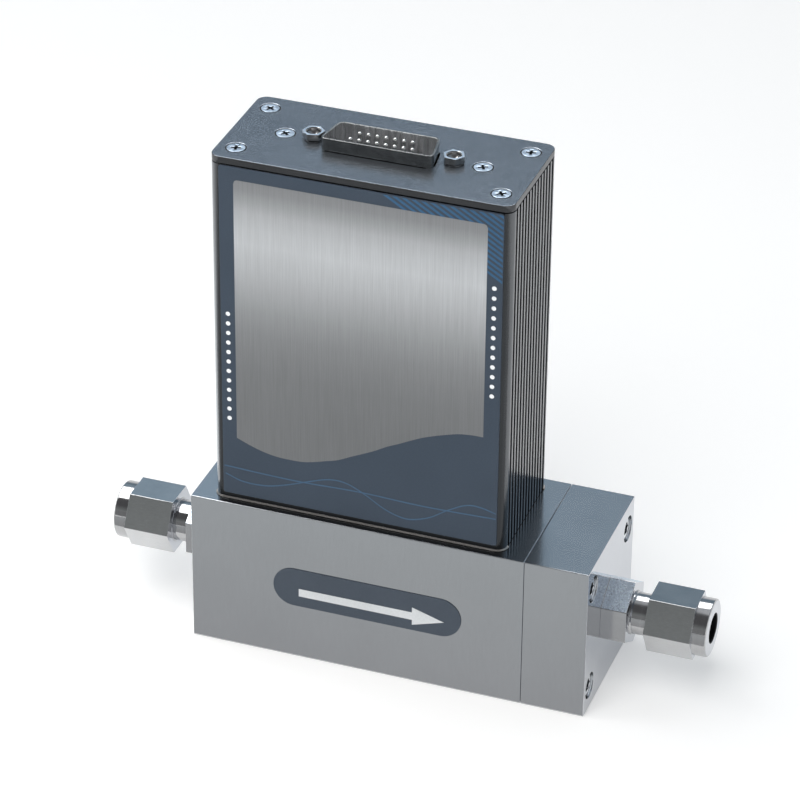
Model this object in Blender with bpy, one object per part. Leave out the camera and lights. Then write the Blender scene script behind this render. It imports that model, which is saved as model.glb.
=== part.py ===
"""Gas mass flow meter with a block base, two tube fittings and a ribbed housing.

Lengths are metres. The origin is on the bottom of the block, at its middle.
+X is the flow direction, -Y the labelled front, +Z up.
"""

import math

import bmesh
import bpy
from mathutils import Matrix, Vector

# Clearances
SEAT_GAP = 0.0003
GLUE_GAP = 0.0002
CUT_OVERRUN = 0.001

# Block
BLOCK_LENGTH = 0.0976
BLOCK_DEPTH = 0.0362
BLOCK_HEIGHT = 0.0393
END_BLOCK_LENGTH = 0.0156
EDGE_BREAK = 0.0003
FLOW_HEIGHT = 0.0194
PASSAGE_RADIUS = 0.0024
MAIN_BORE_RADIUS = 0.0070
MAIN_BORE_FLOOR = 0.0200
MOUNT_HOLE_SPAN = 0.0500
MOUNT_HOLE_RADIUS = 0.00165
MOUNT_HOLE_DEPTH = 0.0070

# Rubber rings
SEAL_SECTION = 0.0007
END_SEAL_RADIUS = 0.0085
SENSOR_SEAL_RADIUS = 0.0018

# Socket cap screws
CAP_HEAD_RADIUS = 0.00275
CAP_HEAD_HEIGHT = 0.0030
CAP_SHANK_RADIUS = 0.0015
CAP_SOCKET_FLATS = 0.0025
CAP_SOCKET_DEPTH = 0.0016
CAP_RECESS = 0.0003
CAP_HOLE_EASE = 0.00045
END_SCREW_SPAN_Y = 0.0272
END_SCREW_SPAN_Z = 0.0268
END_SCREW_LENGTH = 0.0180
HOUSING_SCREW_BITE = 0.0060

# Tube fittings, measured outward from the block's end face
PORT_RADIUS = 0.0059
PORT_DEPTH = 0.0095
SHANK_END_GAP = 0.0006
PORT_SEAL_RADIUS = 0.0057
FITTING_FLATS = 0.0142875
FITTING_HEX_END = 0.0062
FITTING_RING_RADIUS = 0.0065
FITTING_RING_WIDTH = 0.0007
NECK_RADIUS = 0.0050
FITTING_THREAD_RADIUS = 0.0054
FITTING_LENGTH = 0.0186
SOCKET_FLOOR = 0.0085
TUBE_RADIUS = 0.00325
CONE_RADIUS = 0.0046
CONE_ANGLE = math.radians(20.0)
HEX_CHAMFER_ANGLE = math.radians(30.0)
NUT_FLATS = 0.0142875
NUT_START = 0.0096
NUT_RING_RADIUS = 0.0065
NUT_RING_WIDTH = 0.0010
NUT_HEX_LENGTH = 0.0112
NUT_COLLAR_RADIUS = 0.00695
NUT_COLLAR_LENGTH = 0.0034
COLLAR_CHAMFER = 0.0005
MOUTH_CHAMFER = 0.0004
FERRULE_WALL = 0.0014
FRONT_FERRULE_LENGTH = 0.0038
BACK_FERRULE_LENGTH = 0.0020
FERRULE_NEST = 0.0006
FERRULE_EASE = 0.0001

# Flow restrictor
RESTRICTOR_LENGTH = 0.0150
RESTRICTOR_SLOTS = 12
RESTRICTOR_SLOT_WIDTH = 0.0012
RESTRICTOR_SLOT_DEPTH = 0.0022

# Sensor
SENSOR_PORT_SPAN = 0.0200
SENSOR_PORT_RADIUS = 0.0008
SENSOR_BASE_LENGTH = 0.0400
SENSOR_BASE_DEPTH = 0.0140
SENSOR_BASE_HEIGHT = 0.0040
SENSOR_SCREW_SPAN = 0.0324
SENSOR_SCREW_LENGTH = 0.0080
SENSOR_TUBE_RADIUS = 0.0008
SENSOR_TUBE_BORE = 0.0005
SENSOR_TUBE_RISE = 0.0180
SENSOR_TUBE_BEND = 0.0040
WINDING_WALL = 0.0006
WINDING_LENGTH = 0.0110
WINDING_WAIST = 0.0010
SENSOR_COVER_WALL = 0.0010
SENSOR_COVER_DEPTH = 0.0120
SENSOR_COVER_EASE = 0.0006

# Housing
HOUSING_CENTRE_X = -0.00795
HOUSING_WIDTH = 0.0714
HOUSING_DEPTH = 0.0318
HOUSING_HEIGHT = 0.0872
HOUSING_CORNER = 0.0032
HOUSING_FRONT_WALL = 0.0026
HOUSING_END_WALL = 0.0028
GROOVE_COUNT = 13
GROOVE_PITCH = 0.0021
GROOVE_WIDTH = 0.00102
GROOVE_DEPTH = 0.00085
BOSS_RADIUS = 0.0032

# Label on the housing and badge on the block
LABEL_WIDTH = 0.0671
LABEL_LOW_MARGIN = 0.0017
LABEL_THICKNESS = 0.0003
LABEL_CORNER = 0.0006
BADGE_LENGTH = 0.0466
BADGE_HEIGHT = 0.0102
BADGE_CENTRE_X = -0.0048
BADGE_CENTRE_Z = 0.0196
BADGE_THICKNESS = 0.0004

# Top plate
PLATE_THICKNESS = 0.0016
LID_SCREW_INSET_X = 0.0045
LID_SCREW_INSET_Y = 0.0054
MID_SCREW_REACH = 0.0068
LID_HEAD_RADIUS = 0.0024
LID_SHANK_RADIUS = 0.0014
LID_SCREW_LENGTH = 0.0080
LID_HEAD_RIM = 0.0002
MID_SCREW_LENGTH = 0.0044
CROSS_ARM = 0.0013
CROSS_WIDTH = 0.00062
CROSS_DEPTH = 0.0010
CROSS_TAPER = 0.45

# Plug on the top plate
SHELL_LEAN_WIDTH = 0.0029
SHELL_DEPTH = 0.0093
SHELL_CENTRE_Y = -0.00035
SHELL_CORNER = 0.0022
SHELL_WALL = 0.0005
SHELL_RISE = 0.0031
FLANGE_END = 0.00295
FLANGE_DEPTH = 0.0125
FLANGE_THICKNESS = 0.0008
FLANGE_CORNER = 0.0012
INSULATOR_DROP = 0.0024
INSULATOR_HEIGHT = 0.0084
INSULATOR_LIP = 0.0010
PIN_PITCH = 0.0021
PIN_FRONT_COUNT = 8
PIN_BACK_COUNT = 7
PIN_FRONT_Y = -0.0015
PIN_BACK_Y = 0.0018
PIN_RADIUS = 0.0005
PIN_RISE = 0.0025
PIN_TAIL = 0.0040
JACK_SPAN = 0.0333
JACK_TO_SHELL = 0.00325
JACK_FLATS = 0.0045
JACK_HEIGHT = 0.0016
JACK_SHANK_RADIUS = 0.0014
JACK_SHANK_LENGTH = 0.0060
JACK_HOLE_RADIUS = 0.0014
JACK_HOLE_DEPTH = 0.0012
JACK_TURN_LEFT = math.radians(-15.0)
JACK_TURN_RIGHT = math.radians(24.0)

# Circuit board and its brackets
BOARD_WIDTH = 0.0560
BOARD_HEIGHT = 0.0440
BOARD_THICKNESS = 0.0016
BRACKET_WIDTH = 0.0060
BRACKET_FOOT_DEPTH = 0.0080
BRACKET_FOOT_THICKNESS = 0.0030
BRACKET_LEG_THICKNESS = 0.0015
BRACKET_LEG_OVERLAP = 0.0060

# Facets
ROUND_STEPS = 24
SMALL_STEPS = 16
HOLE_STEPS = 12
RING_STEPS = 16
RING_SECTION_STEPS = 6
CORNER_STEPS = 5
PIN_STEPS = 8

# Places that several pieces share
BLOCK_LEFT = -BLOCK_LENGTH / 2
BLOCK_RIGHT = BLOCK_LENGTH / 2
SEAM_X = BLOCK_RIGHT - END_BLOCK_LENGTH
HOUSING_LOW = BLOCK_HEIGHT + SEAT_GAP
HOUSING_TOP = HOUSING_LOW + HOUSING_HEIGHT
PLATE_LOW = HOUSING_TOP + SEAT_GAP
PLATE_TOP = PLATE_LOW + PLATE_THICKNESS
HOUSING_FRONT = -HOUSING_DEPTH / 2
LID_SCREW_HALF_X = HOUSING_WIDTH / 2 - LID_SCREW_INSET_X
LID_SCREW_HALF_Y = HOUSING_DEPTH / 2 - LID_SCREW_INSET_Y
CAP_SEAT = CAP_RECESS + CAP_HEAD_HEIGHT + SEAT_GAP
SENSOR_BASE_LOW = BLOCK_HEIGHT + SEAT_GAP
SENSOR_BASE_TOP = SENSOR_BASE_LOW + SENSOR_BASE_HEIGHT
SENSOR_TUBE_LOW = SENSOR_BASE_LOW
SENSOR_TUBE_TOP = SENSOR_BASE_TOP + SENSOR_TUBE_RISE
MID_SCREW_SPAN_X = JACK_SPAN + 2 * MID_SCREW_REACH
SHELL_FRONT_WIDTH = JACK_SPAN - 2 * JACK_TO_SHELL
SHELL_BACK_WIDTH = SHELL_FRONT_WIDTH - SHELL_LEAN_WIDTH
FLANGE_WIDTH = JACK_SPAN + 2 * FLANGE_END
FLANGE_TOP = PLATE_LOW - SEAT_GAP
FLANGE_LOW = FLANGE_TOP - FLANGE_THICKNESS
INSULATOR_TOP = PLATE_TOP - INSULATOR_DROP
INSULATOR_LOW = INSULATOR_TOP - INSULATOR_HEIGHT
BOARD_TOP = INSULATOR_LOW - SEAT_GAP
BOARD_Y = (PIN_FRONT_Y + PIN_BACK_Y) / 2

FERRULE_RIM = TUBE_RADIUS + FERRULE_EASE + FERRULE_WALL
CONE_SLACK = SEAT_GAP / math.cos(CONE_ANGLE)
FERRULE_RIM_START = FITTING_LENGTH + (FERRULE_RIM + CONE_SLACK - CONE_RADIUS) / math.tan(CONE_ANGLE)
FRONT_FERRULE_END = FERRULE_RIM_START + FERRULE_NEST
FRONT_FERRULE_START = FRONT_FERRULE_END - FRONT_FERRULE_LENGTH
BACK_FERRULE_START = FERRULE_RIM_START + SEAT_GAP
BACK_FERRULE_END = BACK_FERRULE_START + BACK_FERRULE_LENGTH

# Looks: colour, roughness, metallic
SATIN_ALUMINIUM = ((0.62, 0.63, 0.65), 0.30, 1.0)
STEEL = ((0.66, 0.66, 0.67), 0.16, 1.0)
SCREW_STEEL = ((0.58, 0.61, 0.66), 0.25, 1.0)
DARK_ANODISED = ((0.10, 0.105, 0.11), 0.38, 0.8)
PLATE_METAL = ((0.36, 0.40, 0.45), 0.32, 1.0)
LABEL_BLUE_GREY = ((0.20, 0.24, 0.29), 0.45, 0.2)
BADGE_GREY = ((0.28, 0.31, 0.35), 0.45, 0.2)
SHELL_METAL = ((0.50, 0.50, 0.49), 0.22, 1.0)
BLACK_PLASTIC = ((0.03, 0.03, 0.032), 0.50, 0.0)
PIN_METAL = ((0.80, 0.78, 0.72), 0.18, 1.0)
RUBBER = ((0.02, 0.02, 0.02), 0.75, 0.0)
BOARD_GREEN = ((0.03, 0.16, 0.07), 0.50, 0.0)
BRASS = ((0.70, 0.55, 0.28), 0.25, 1.0)


def clear_scene():
    for item in list(bpy.data.objects):
        bpy.data.objects.remove(item, do_unlink=True)


def make_material(name, look):
    colour, roughness, metallic = look
    material = bpy.data.materials.new(name)
    material.use_nodes = True
    shader = material.node_tree.nodes["Principled BSDF"]
    shader.inputs["Base Color"].default_value = (*colour, 1.0)
    shader.inputs["Roughness"].default_value = roughness
    shader.inputs["Metallic"].default_value = metallic
    return material


def add_object(name, shape, location=(0.0, 0.0, 0.0), rotation=(0.0, 0.0, 0.0)):
    """Turn a finished bmesh into an object in the scene."""
    bmesh.ops.recalc_face_normals(shape, faces=shape.faces[:])
    if shape.calc_volume(signed=True) < 0.0:
        bmesh.ops.reverse_faces(shape, faces=shape.faces[:])
    mesh = bpy.data.meshes.new(name)
    shape.to_mesh(mesh)
    shape.free()
    mesh.shade_smooth()
    mesh.set_sharp_from_angle(angle=math.radians(32.0))
    piece = bpy.data.objects.new(name, mesh)
    piece.location = location
    piece.rotation_euler = rotation
    bpy.context.scene.collection.objects.link(piece)
    return piece


def finish(piece, look):
    piece.data.materials.append(make_material(piece.name, look))
    return piece


def hide_as_cutter(piece):
    piece.hide_render = True
    piece.display_type = 'WIRE'
    return piece


def apply_cutter(piece, cutter, operation='DIFFERENCE'):
    """Cut a piece with a hidden guide shape, or join or intersect the two."""
    modifier = piece.modifiers.new(cutter.name, 'BOOLEAN')
    modifier.operation = operation
    modifier.solver = 'EXACT'
    modifier.object = hide_as_cutter(cutter)


def circle(radius, steps, centre=(0.0, 0.0), turn=0.0):
    """Corner points of a regular outline, counter-clockwise."""
    points = []
    for index in range(steps):
        angle = turn + 2 * math.pi * index / steps
        points.append((centre[0] + radius * math.cos(angle), centre[1] + radius * math.sin(angle)))
    return points


def hexagon(flats, turn=0.0, centre=(0.0, 0.0)):
    return circle(flats / 2 / math.cos(math.pi / 6), 6, centre, turn)


def rounded(corners, radius, steps=CORNER_STEPS):
    """Outline of a convex polygon with each corner rounded to the radius."""
    points = []
    count = len(corners)
    for index in range(count):
        before = Vector(corners[index - 1])
        corner = Vector(corners[index])
        after = Vector(corners[(index + 1) % count])
        to_before = (before - corner).normalized()
        to_after = (after - corner).normalized()
        half_angle = to_before.angle(to_after) / 2
        centre = corner + (to_before + to_after).normalized() * radius / math.sin(half_angle)
        start = corner + to_before * radius / math.tan(half_angle) - centre
        sweep = math.pi - 2 * half_angle
        for step in range(steps + 1):
            angle = sweep * step / steps
            turned = Matrix.Rotation(angle, 2) @ start
            points.append((centre.x + turned.x, centre.y + turned.y))
    return points


def rectangle(width, depth, centre=(0.0, 0.0)):
    x, y = centre
    return [
        (x - width / 2, y - depth / 2),
        (x + width / 2, y - depth / 2),
        (x + width / 2, y + depth / 2),
        (x - width / 2, y + depth / 2),
    ]


def section_solid(outlines, low, high):
    """Fill an outline with its holes and raise it along Z."""
    shape = bmesh.new()
    edges = []
    for outline in outlines:
        corners = [shape.verts.new((x, y, low)) for x, y in outline]
        for index, corner in enumerate(corners):
            edges.append(shape.edges.new((corners[index - 1], corner)))
    bmesh.ops.triangle_fill(shape, use_beauty=True, use_dissolve=False, edges=edges)
    raised = bmesh.ops.extrude_face_region(shape, geom=shape.faces[:])
    lifted = [item for item in raised["geom"] if isinstance(item, bmesh.types.BMVert)]
    bmesh.ops.translate(shape, verts=lifted, vec=(0.0, 0.0, high - low))
    return shape


def turned_solid(profile, steps):
    """Spin a profile of (radius, height) points round Z.

    A profile that starts and ends on the axis gives a full body,
    any other is closed on itself and gives a ring.
    """
    shape = bmesh.new()
    points = [shape.verts.new((radius, 0.0, height)) for radius, height in profile]
    edges = []
    for index in range(len(points) - 1):
        edges.append(shape.edges.new((points[index], points[index + 1])))
    on_axis = profile[0][0] == 0.0 and profile[-1][0] == 0.0
    if not on_axis:
        edges.append(shape.edges.new((points[-1], points[0])))
    bmesh.ops.spin(
        shape,
        geom=points + edges,
        cent=(0.0, 0.0, 0.0),
        axis=(0.0, 0.0, 1.0),
        angle=2 * math.pi,
        steps=steps,
        use_merge=True,
    )
    bmesh.ops.remove_doubles(shape, verts=shape.verts[:], dist=1e-7)
    return shape


def box_solid(low, high, edge_break=0.0):
    """A box between two corners, with its edges broken if asked."""
    shape = bmesh.new()
    bmesh.ops.create_cube(shape, size=1.0)
    size = [top - bottom for bottom, top in zip(low, high)]
    middle = [(top + bottom) / 2 for bottom, top in zip(low, high)]
    bmesh.ops.scale(shape, vec=size, verts=shape.verts[:])
    bmesh.ops.translate(shape, vec=middle, verts=shape.verts[:])
    if edge_break > 0.0:
        bmesh.ops.bevel(
            shape,
            geom=shape.edges[:],
            offset=edge_break,
            segments=2,
            profile=0.5,
            affect='EDGES',
            material=-1,
        )
    return shape


def move(shape, offset):
    bmesh.ops.translate(shape, vec=offset, verts=shape.verts[:])
    return shape


def turn_to_x(shape):
    """Lay a shape that stands along Z down along +X."""
    matrix = Matrix.Rotation(math.pi / 2, 3, 'Y')
    bmesh.ops.rotate(shape, cent=(0.0, 0.0, 0.0), matrix=matrix, verts=shape.verts[:])
    return shape


def turn_over(shape, axis='X'):
    """Turn a shape end for end, by half a turn about the axis."""
    matrix = Matrix.Rotation(math.pi, 3, axis)
    bmesh.ops.rotate(shape, cent=(0.0, 0.0, 0.0), matrix=matrix, verts=shape.verts[:])
    return shape


def gather(shapes):
    """Put several separate shapes into one mesh, for use as one cutter."""
    whole = bmesh.new()
    for shape in shapes:
        mesh = bpy.data.meshes.new("gathered")
        shape.to_mesh(mesh)
        shape.free()
        whole.from_mesh(mesh)
        bpy.data.meshes.remove(mesh)
    return whole


def ring_profile(radius, section, centre_height=0.0):
    """Round section of a rubber ring."""
    return [(radius + x, centre_height + y) for x, y in circle(section, RING_SECTION_STEPS)]


def end_screw_places():
    """Centres of the end block's screws in the (y, z) plane."""
    places = []
    for side_y in (-1, 1):
        for side_z in (-1, 1):
            y = side_y * END_SCREW_SPAN_Y / 2
            z = FLOW_HEIGHT + side_z * END_SCREW_SPAN_Z / 2
            places.append((y, z))
    return places


def lid_corner_places():
    places = []
    for side_x in (-1, 1):
        for side_y in (-1, 1):
            x = HOUSING_CENTRE_X + side_x * LID_SCREW_HALF_X
            y = side_y * LID_SCREW_HALF_Y
            places.append((x, y))
    return places


def housing_screw_places():
    """The two corner channels, across the diagonal, that hold the housing down."""
    corners = lid_corner_places()
    return [corners[0], corners[3]]


def mid_screw_places():
    return [(HOUSING_CENTRE_X + side * MID_SCREW_SPAN_X / 2, 0.0) for side in (-1, 1)]


def jack_places():
    return [(HOUSING_CENTRE_X + side * JACK_SPAN / 2, 0.0) for side in (-1, 1)]


def sensor_port_places():
    return [HOUSING_CENTRE_X + side * SENSOR_PORT_SPAN / 2 for side in (-1, 1)]


def sensor_screw_places():
    return [HOUSING_CENTRE_X + side * SENSOR_SCREW_SPAN / 2 for side in (-1, 1)]


def pin_places():
    """Centres of the pins, the front row of one more than the back row."""
    places = []
    for count, y in ((PIN_FRONT_COUNT, PIN_FRONT_Y), (PIN_BACK_COUNT, PIN_BACK_Y)):
        for index in range(count):
            x = HOUSING_CENTRE_X + PIN_PITCH * (index - (count - 1) / 2)
            places.append((x, y))
    return places


def shell_outline(grow):
    """Outline of the D-shaped plug shell, moved outward by the given amount."""
    lean = (SHELL_FRONT_WIDTH - SHELL_BACK_WIDTH) / 2 / SHELL_DEPTH
    sideways = grow * math.sqrt(1 + lean * lean)
    front = SHELL_CENTRE_Y - SHELL_DEPTH / 2 - grow
    back = SHELL_CENTRE_Y + SHELL_DEPTH / 2 + grow
    front_half = SHELL_FRONT_WIDTH / 2 + lean * grow + sideways
    back_half = SHELL_BACK_WIDTH / 2 - lean * grow + sideways
    corners = [
        (HOUSING_CENTRE_X - front_half, front),
        (HOUSING_CENTRE_X + front_half, front),
        (HOUSING_CENTRE_X + back_half, back),
        (HOUSING_CENTRE_X - back_half, back),
    ]
    return rounded(corners, SHELL_CORNER + grow)


def port_seal_height():
    """Height of the rubber ring's centre, measured outward from the block's end face."""
    return -SEAT_GAP - SEAL_SECTION


def port_seal_floor():
    return port_seal_height() - SEAL_SECTION - SEAT_GAP


def port_cut(tail):
    """Threaded port with the seat for its rubber ring, opening along +Z at height zero.

    The tail carries the passage on behind the port, as (radius, height) points.
    """
    seat = PORT_SEAL_RADIUS + SEAL_SECTION + SEAT_GAP
    profile = [
        (0.0, CUT_OVERRUN),
        (seat, CUT_OVERRUN),
        (seat, port_seal_floor()),
        (PORT_RADIUS, port_seal_floor()),
        (PORT_RADIUS, -PORT_DEPTH),
        (PASSAGE_RADIUS, -PORT_DEPTH),
    ]
    return turned_solid(profile + tail + [(0.0, tail[-1][1])], RING_STEPS)


def blind_hole(radius, depth, steps=HOLE_STEPS):
    """Hole with a drilled point, opening along +Z at height zero."""
    point = radius * math.tan(math.radians(30.0))
    profile = [(0.0, CUT_OVERRUN), (radius, CUT_OVERRUN), (radius, -depth), (0.0, -depth - point)]
    return turned_solid(profile, steps)


def through_hole(radius, low, high, steps=HOLE_STEPS):
    profile = [
        (0.0, high + CUT_OVERRUN),
        (radius, high + CUT_OVERRUN),
        (radius, low - CUT_OVERRUN),
        (0.0, low - CUT_OVERRUN),
    ]
    return turned_solid(profile, steps)


def sunk_screw_hole(length):
    """Counterbored hole for a cap screw, its head end at height zero."""
    head = CAP_HEAD_RADIUS + CAP_HOLE_EASE
    shank = CAP_SHANK_RADIUS + SEAT_GAP
    profile = [
        (0.0, CUT_OVERRUN),
        (head, CUT_OVERRUN),
        (head, -CAP_SEAT),
        (shank, -CAP_SEAT),
        (shank, -length),
        (0.0, -length),
    ]
    return turned_solid(profile, SMALL_STEPS)


def flow_path_cuts():
    """Inlet port, passage and wide main bore, and the groove for the end block's ring."""
    seam = -(BLOCK_LENGTH - END_BLOCK_LENGTH) - CUT_OVERRUN
    tail = [
        (PASSAGE_RADIUS, -MAIN_BORE_FLOOR),
        (MAIN_BORE_RADIUS, -MAIN_BORE_FLOOR),
        (MAIN_BORE_RADIUS, seam),
    ]
    path = turn_over(turn_to_x(port_cut(tail)), 'Z')
    move(path, (BLOCK_LEFT, 0.0, FLOW_HEIGHT))
    inner = END_SEAL_RADIUS - SEAL_SECTION - SEAT_GAP
    outer = END_SEAL_RADIUS + SEAL_SECTION + SEAT_GAP
    floor_x = -2 * SEAL_SECTION - SEAT_GAP
    profile = [(inner, floor_x), (outer, floor_x), (outer, CUT_OVERRUN), (inner, CUT_OVERRUN)]
    groove = turn_to_x(turned_solid(profile, RING_STEPS))
    return gather([path, move(groove, (SEAM_X, 0.0, FLOW_HEIGHT))])


def flow_body_drillings():
    """Every small hole of the flow body that meets no other hole."""
    shapes = []
    tip = BLOCK_RIGHT - CAP_SEAT - END_SCREW_LENGTH - CAP_SHANK_RADIUS
    for y, z in end_screw_places():
        hole = turn_to_x(blind_hole(CAP_SHANK_RADIUS + SEAT_GAP, SEAM_X - tip))
        shapes.append(move(hole, (SEAM_X, y, z)))
    for x, y in housing_screw_places():
        hole = turn_over(sunk_screw_hole(BLOCK_HEIGHT + CUT_OVERRUN))
        shapes.append(move(hole, (x, y, 0.0)))
    for x in sensor_screw_places():
        depth = SENSOR_SCREW_LENGTH - SENSOR_BASE_HEIGHT + CAP_SHANK_RADIUS
        hole = blind_hole(CAP_SHANK_RADIUS + SEAT_GAP, depth)
        shapes.append(move(hole, (x, 0.0, BLOCK_HEIGHT)))
    for side in (-1, 1):
        hole = turn_over(blind_hole(MOUNT_HOLE_RADIUS, MOUNT_HOLE_DEPTH))
        shapes.append(move(hole, (side * MOUNT_HOLE_SPAN / 2, 0.0, 0.0)))
    return gather(shapes)


def sensor_port_cuts():
    """Two small passages from the main bore up to the sensor, with ring seats."""
    shapes = []
    seat = SENSOR_SEAL_RADIUS + SEAL_SECTION + SEAT_GAP
    seat_floor = BLOCK_HEIGHT - 2 * SEAL_SECTION - SEAT_GAP
    for x in sensor_port_places():
        profile = [
            (0.0, BLOCK_HEIGHT + CUT_OVERRUN),
            (seat, BLOCK_HEIGHT + CUT_OVERRUN),
            (seat, seat_floor),
            (SENSOR_PORT_RADIUS, seat_floor),
            (SENSOR_PORT_RADIUS, FLOW_HEIGHT),
            (0.0, FLOW_HEIGHT),
        ]
        shapes.append(move(turned_solid(profile, HOLE_STEPS), (x, 0.0, 0.0)))
    return gather(shapes)


def make_flow_body():
    low = (BLOCK_LEFT, -BLOCK_DEPTH / 2, 0.0)
    high = (SEAM_X, BLOCK_DEPTH / 2, BLOCK_HEIGHT)
    piece = add_object("flow_body", box_solid(low, high, EDGE_BREAK))
    apply_cutter(piece, add_object("cut_flow_path", flow_path_cuts()))
    apply_cutter(piece, add_object("cut_sensor_ports", sensor_port_cuts()))
    apply_cutter(piece, add_object("cut_flow_body_drillings", flow_body_drillings()))
    return finish(piece, SATIN_ALUMINIUM)


def make_end_block():
    low = (SEAM_X + SEAT_GAP, -BLOCK_DEPTH / 2, 0.0)
    high = (BLOCK_RIGHT, BLOCK_DEPTH / 2, BLOCK_HEIGHT)
    piece = add_object("end_block", box_solid(low, high, EDGE_BREAK))
    path = turn_to_x(port_cut([(PASSAGE_RADIUS, -END_BLOCK_LENGTH - CUT_OVERRUN)]))
    move(path, (BLOCK_RIGHT, 0.0, FLOW_HEIGHT))
    apply_cutter(piece, add_object("cut_outlet_path", path))
    holes = []
    for y, z in end_screw_places():
        hole = turn_to_x(sunk_screw_hole(END_BLOCK_LENGTH + CUT_OVERRUN))
        holes.append(move(hole, (BLOCK_RIGHT, y, z)))
    apply_cutter(piece, add_object("cut_end_screw_holes", gather(holes)))
    return finish(piece, SATIN_ALUMINIUM)


def make_end_block_seal():
    centre = SEAM_X - SEAL_SECTION
    shape = turn_to_x(turned_solid(ring_profile(END_SEAL_RADIUS, SEAL_SECTION), RING_STEPS))
    move(shape, (centre, 0.0, FLOW_HEIGHT))
    return finish(add_object("end_block_seal", shape), RUBBER)


def cap_screw(name, length, location, rotation, socket_turn=0.0):
    """Socket cap screw whose head seat is at height zero, its head along +Z."""
    bevel = CAP_HEAD_HEIGHT / 12
    profile = [
        (0.0, CAP_HEAD_HEIGHT),
        (CAP_HEAD_RADIUS - bevel, CAP_HEAD_HEIGHT),
        (CAP_HEAD_RADIUS, CAP_HEAD_HEIGHT - bevel),
        (CAP_HEAD_RADIUS, 0.0),
        (CAP_SHANK_RADIUS, 0.0),
        (CAP_SHANK_RADIUS, -length + bevel),
        (CAP_SHANK_RADIUS - bevel, -length),
        (0.0, -length),
    ]
    piece = add_object(name, turned_solid(profile, SMALL_STEPS), location, rotation)
    low = CAP_HEAD_HEIGHT - CAP_SOCKET_DEPTH
    high = CAP_HEAD_HEIGHT + CUT_OVERRUN
    socket = section_solid([hexagon(CAP_SOCKET_FLATS, socket_turn)], low, high)
    apply_cutter(piece, add_object("cut_" + name, socket, location, rotation))
    return finish(piece, SCREW_STEEL)


def make_end_screws():
    for index, (y, z) in enumerate(end_screw_places()):
        place = (BLOCK_RIGHT - CAP_RECESS - CAP_HEAD_HEIGHT, y, z)
        turn = math.radians(17.0 * index)
        cap_screw(f"end_screw_{index + 1}", END_SCREW_LENGTH, place, (0.0, math.pi / 2, 0.0), turn)


def make_housing_screws():
    length = BLOCK_HEIGHT - CAP_SEAT + 2 * SEAT_GAP + HOUSING_SCREW_BITE
    for index, (x, y) in enumerate(housing_screw_places()):
        place = (x, y, CAP_RECESS + CAP_HEAD_HEIGHT)
        cap_screw(f"housing_screw_{index + 1}", length, place, (math.pi, 0.0, 0.0))


def hex_mill(flats, low, high, turn):
    """Ring with a hexagonal hole, which leaves a hexagon when cut from a turned piece."""
    outer = circle(flats, ROUND_STEPS)
    return section_solid([outer, hexagon(flats, turn)], low, high)


def hex_stock(flats):
    """Radius of the round stock that the hexagon is milled from."""
    return flats / 2 / math.cos(math.pi / 6) + SEAT_GAP


def chamfer_run(flats, face_radius):
    """Length along the axis of a hexagon's end chamfer."""
    return (hex_stock(flats) - face_radius) * math.tan(HEX_CHAMFER_ANGLE)


def fitting_profile():
    """Section of a fitting body, from its shank in the block to the threaded end."""
    hex_start = SEAT_GAP
    face = FITTING_FLATS / 2 - SEAT_GAP
    stock = hex_stock(FITTING_FLATS)
    run = chamfer_run(FITTING_FLATS, face)
    ring_end = FITTING_HEX_END + FITTING_RING_WIDTH
    cone_floor = FITTING_LENGTH - (CONE_RADIUS - TUBE_RADIUS) / math.tan(CONE_ANGLE)
    shank_end = -PORT_DEPTH + SHANK_END_GAP
    shank_radius = PORT_RADIUS - SEAT_GAP
    seal_neck = PORT_SEAL_RADIUS - SEAL_SECTION - SEAT_GAP
    lead = FITTING_THREAD_RADIUS - NECK_RADIUS
    thread_start = NUT_START + NUT_RING_WIDTH
    return [
        (PASSAGE_RADIUS, shank_end),
        (shank_radius, shank_end),
        (shank_radius, port_seal_floor() - SEAT_GAP),
        (seal_neck, port_seal_floor() - SEAT_GAP),
        (seal_neck, hex_start),
        (face, hex_start),
        (stock, hex_start + run),
        (stock, FITTING_HEX_END - run),
        (face, FITTING_HEX_END),
        (FITTING_RING_RADIUS, FITTING_HEX_END),
        (FITTING_RING_RADIUS, ring_end),
        (NECK_RADIUS, ring_end),
        (NECK_RADIUS, thread_start),
        (FITTING_THREAD_RADIUS, thread_start + lead),
        (FITTING_THREAD_RADIUS, FITTING_LENGTH - lead),
        (FITTING_THREAD_RADIUS - lead, FITTING_LENGTH),
        (CONE_RADIUS, FITTING_LENGTH),
        (TUBE_RADIUS, cone_floor),
        (TUBE_RADIUS, SOCKET_FLOOR),
        (PASSAGE_RADIUS, SOCKET_FLOOR),
    ]


def fitting_place(side):
    """Location and rotation that point a fitting out of the block's end."""
    return (side * BLOCK_LENGTH / 2, 0.0, FLOW_HEIGHT), (0.0, side * math.pi / 2, 0.0)


def make_fitting(name, side):
    location, rotation = fitting_place(side)
    piece = add_object(name, turned_solid(fitting_profile(), ROUND_STEPS), location, rotation)
    mill = hex_mill(FITTING_FLATS, 0.0, FITTING_HEX_END + SEAT_GAP, 0.0)
    apply_cutter(piece, add_object("cut_" + name, mill, location, rotation))
    return finish(piece, STEEL)


def front_ferrule_profile():
    """Cone that lies in the fitting's mouth, with a seat for the back ferrule."""
    inner = TUBE_RADIUS + FERRULE_EASE
    nose = FERRULE_RIM - (FERRULE_RIM_START - FRONT_FERRULE_START) * math.tan(CONE_ANGLE)
    return [
        (inner, FRONT_FERRULE_START),
        (nose, FRONT_FERRULE_START),
        (FERRULE_RIM, FERRULE_RIM_START),
        (FERRULE_RIM, FRONT_FERRULE_END),
        (inner + FERRULE_NEST, FRONT_FERRULE_END),
        (inner, FERRULE_RIM_START),
    ]


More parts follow.
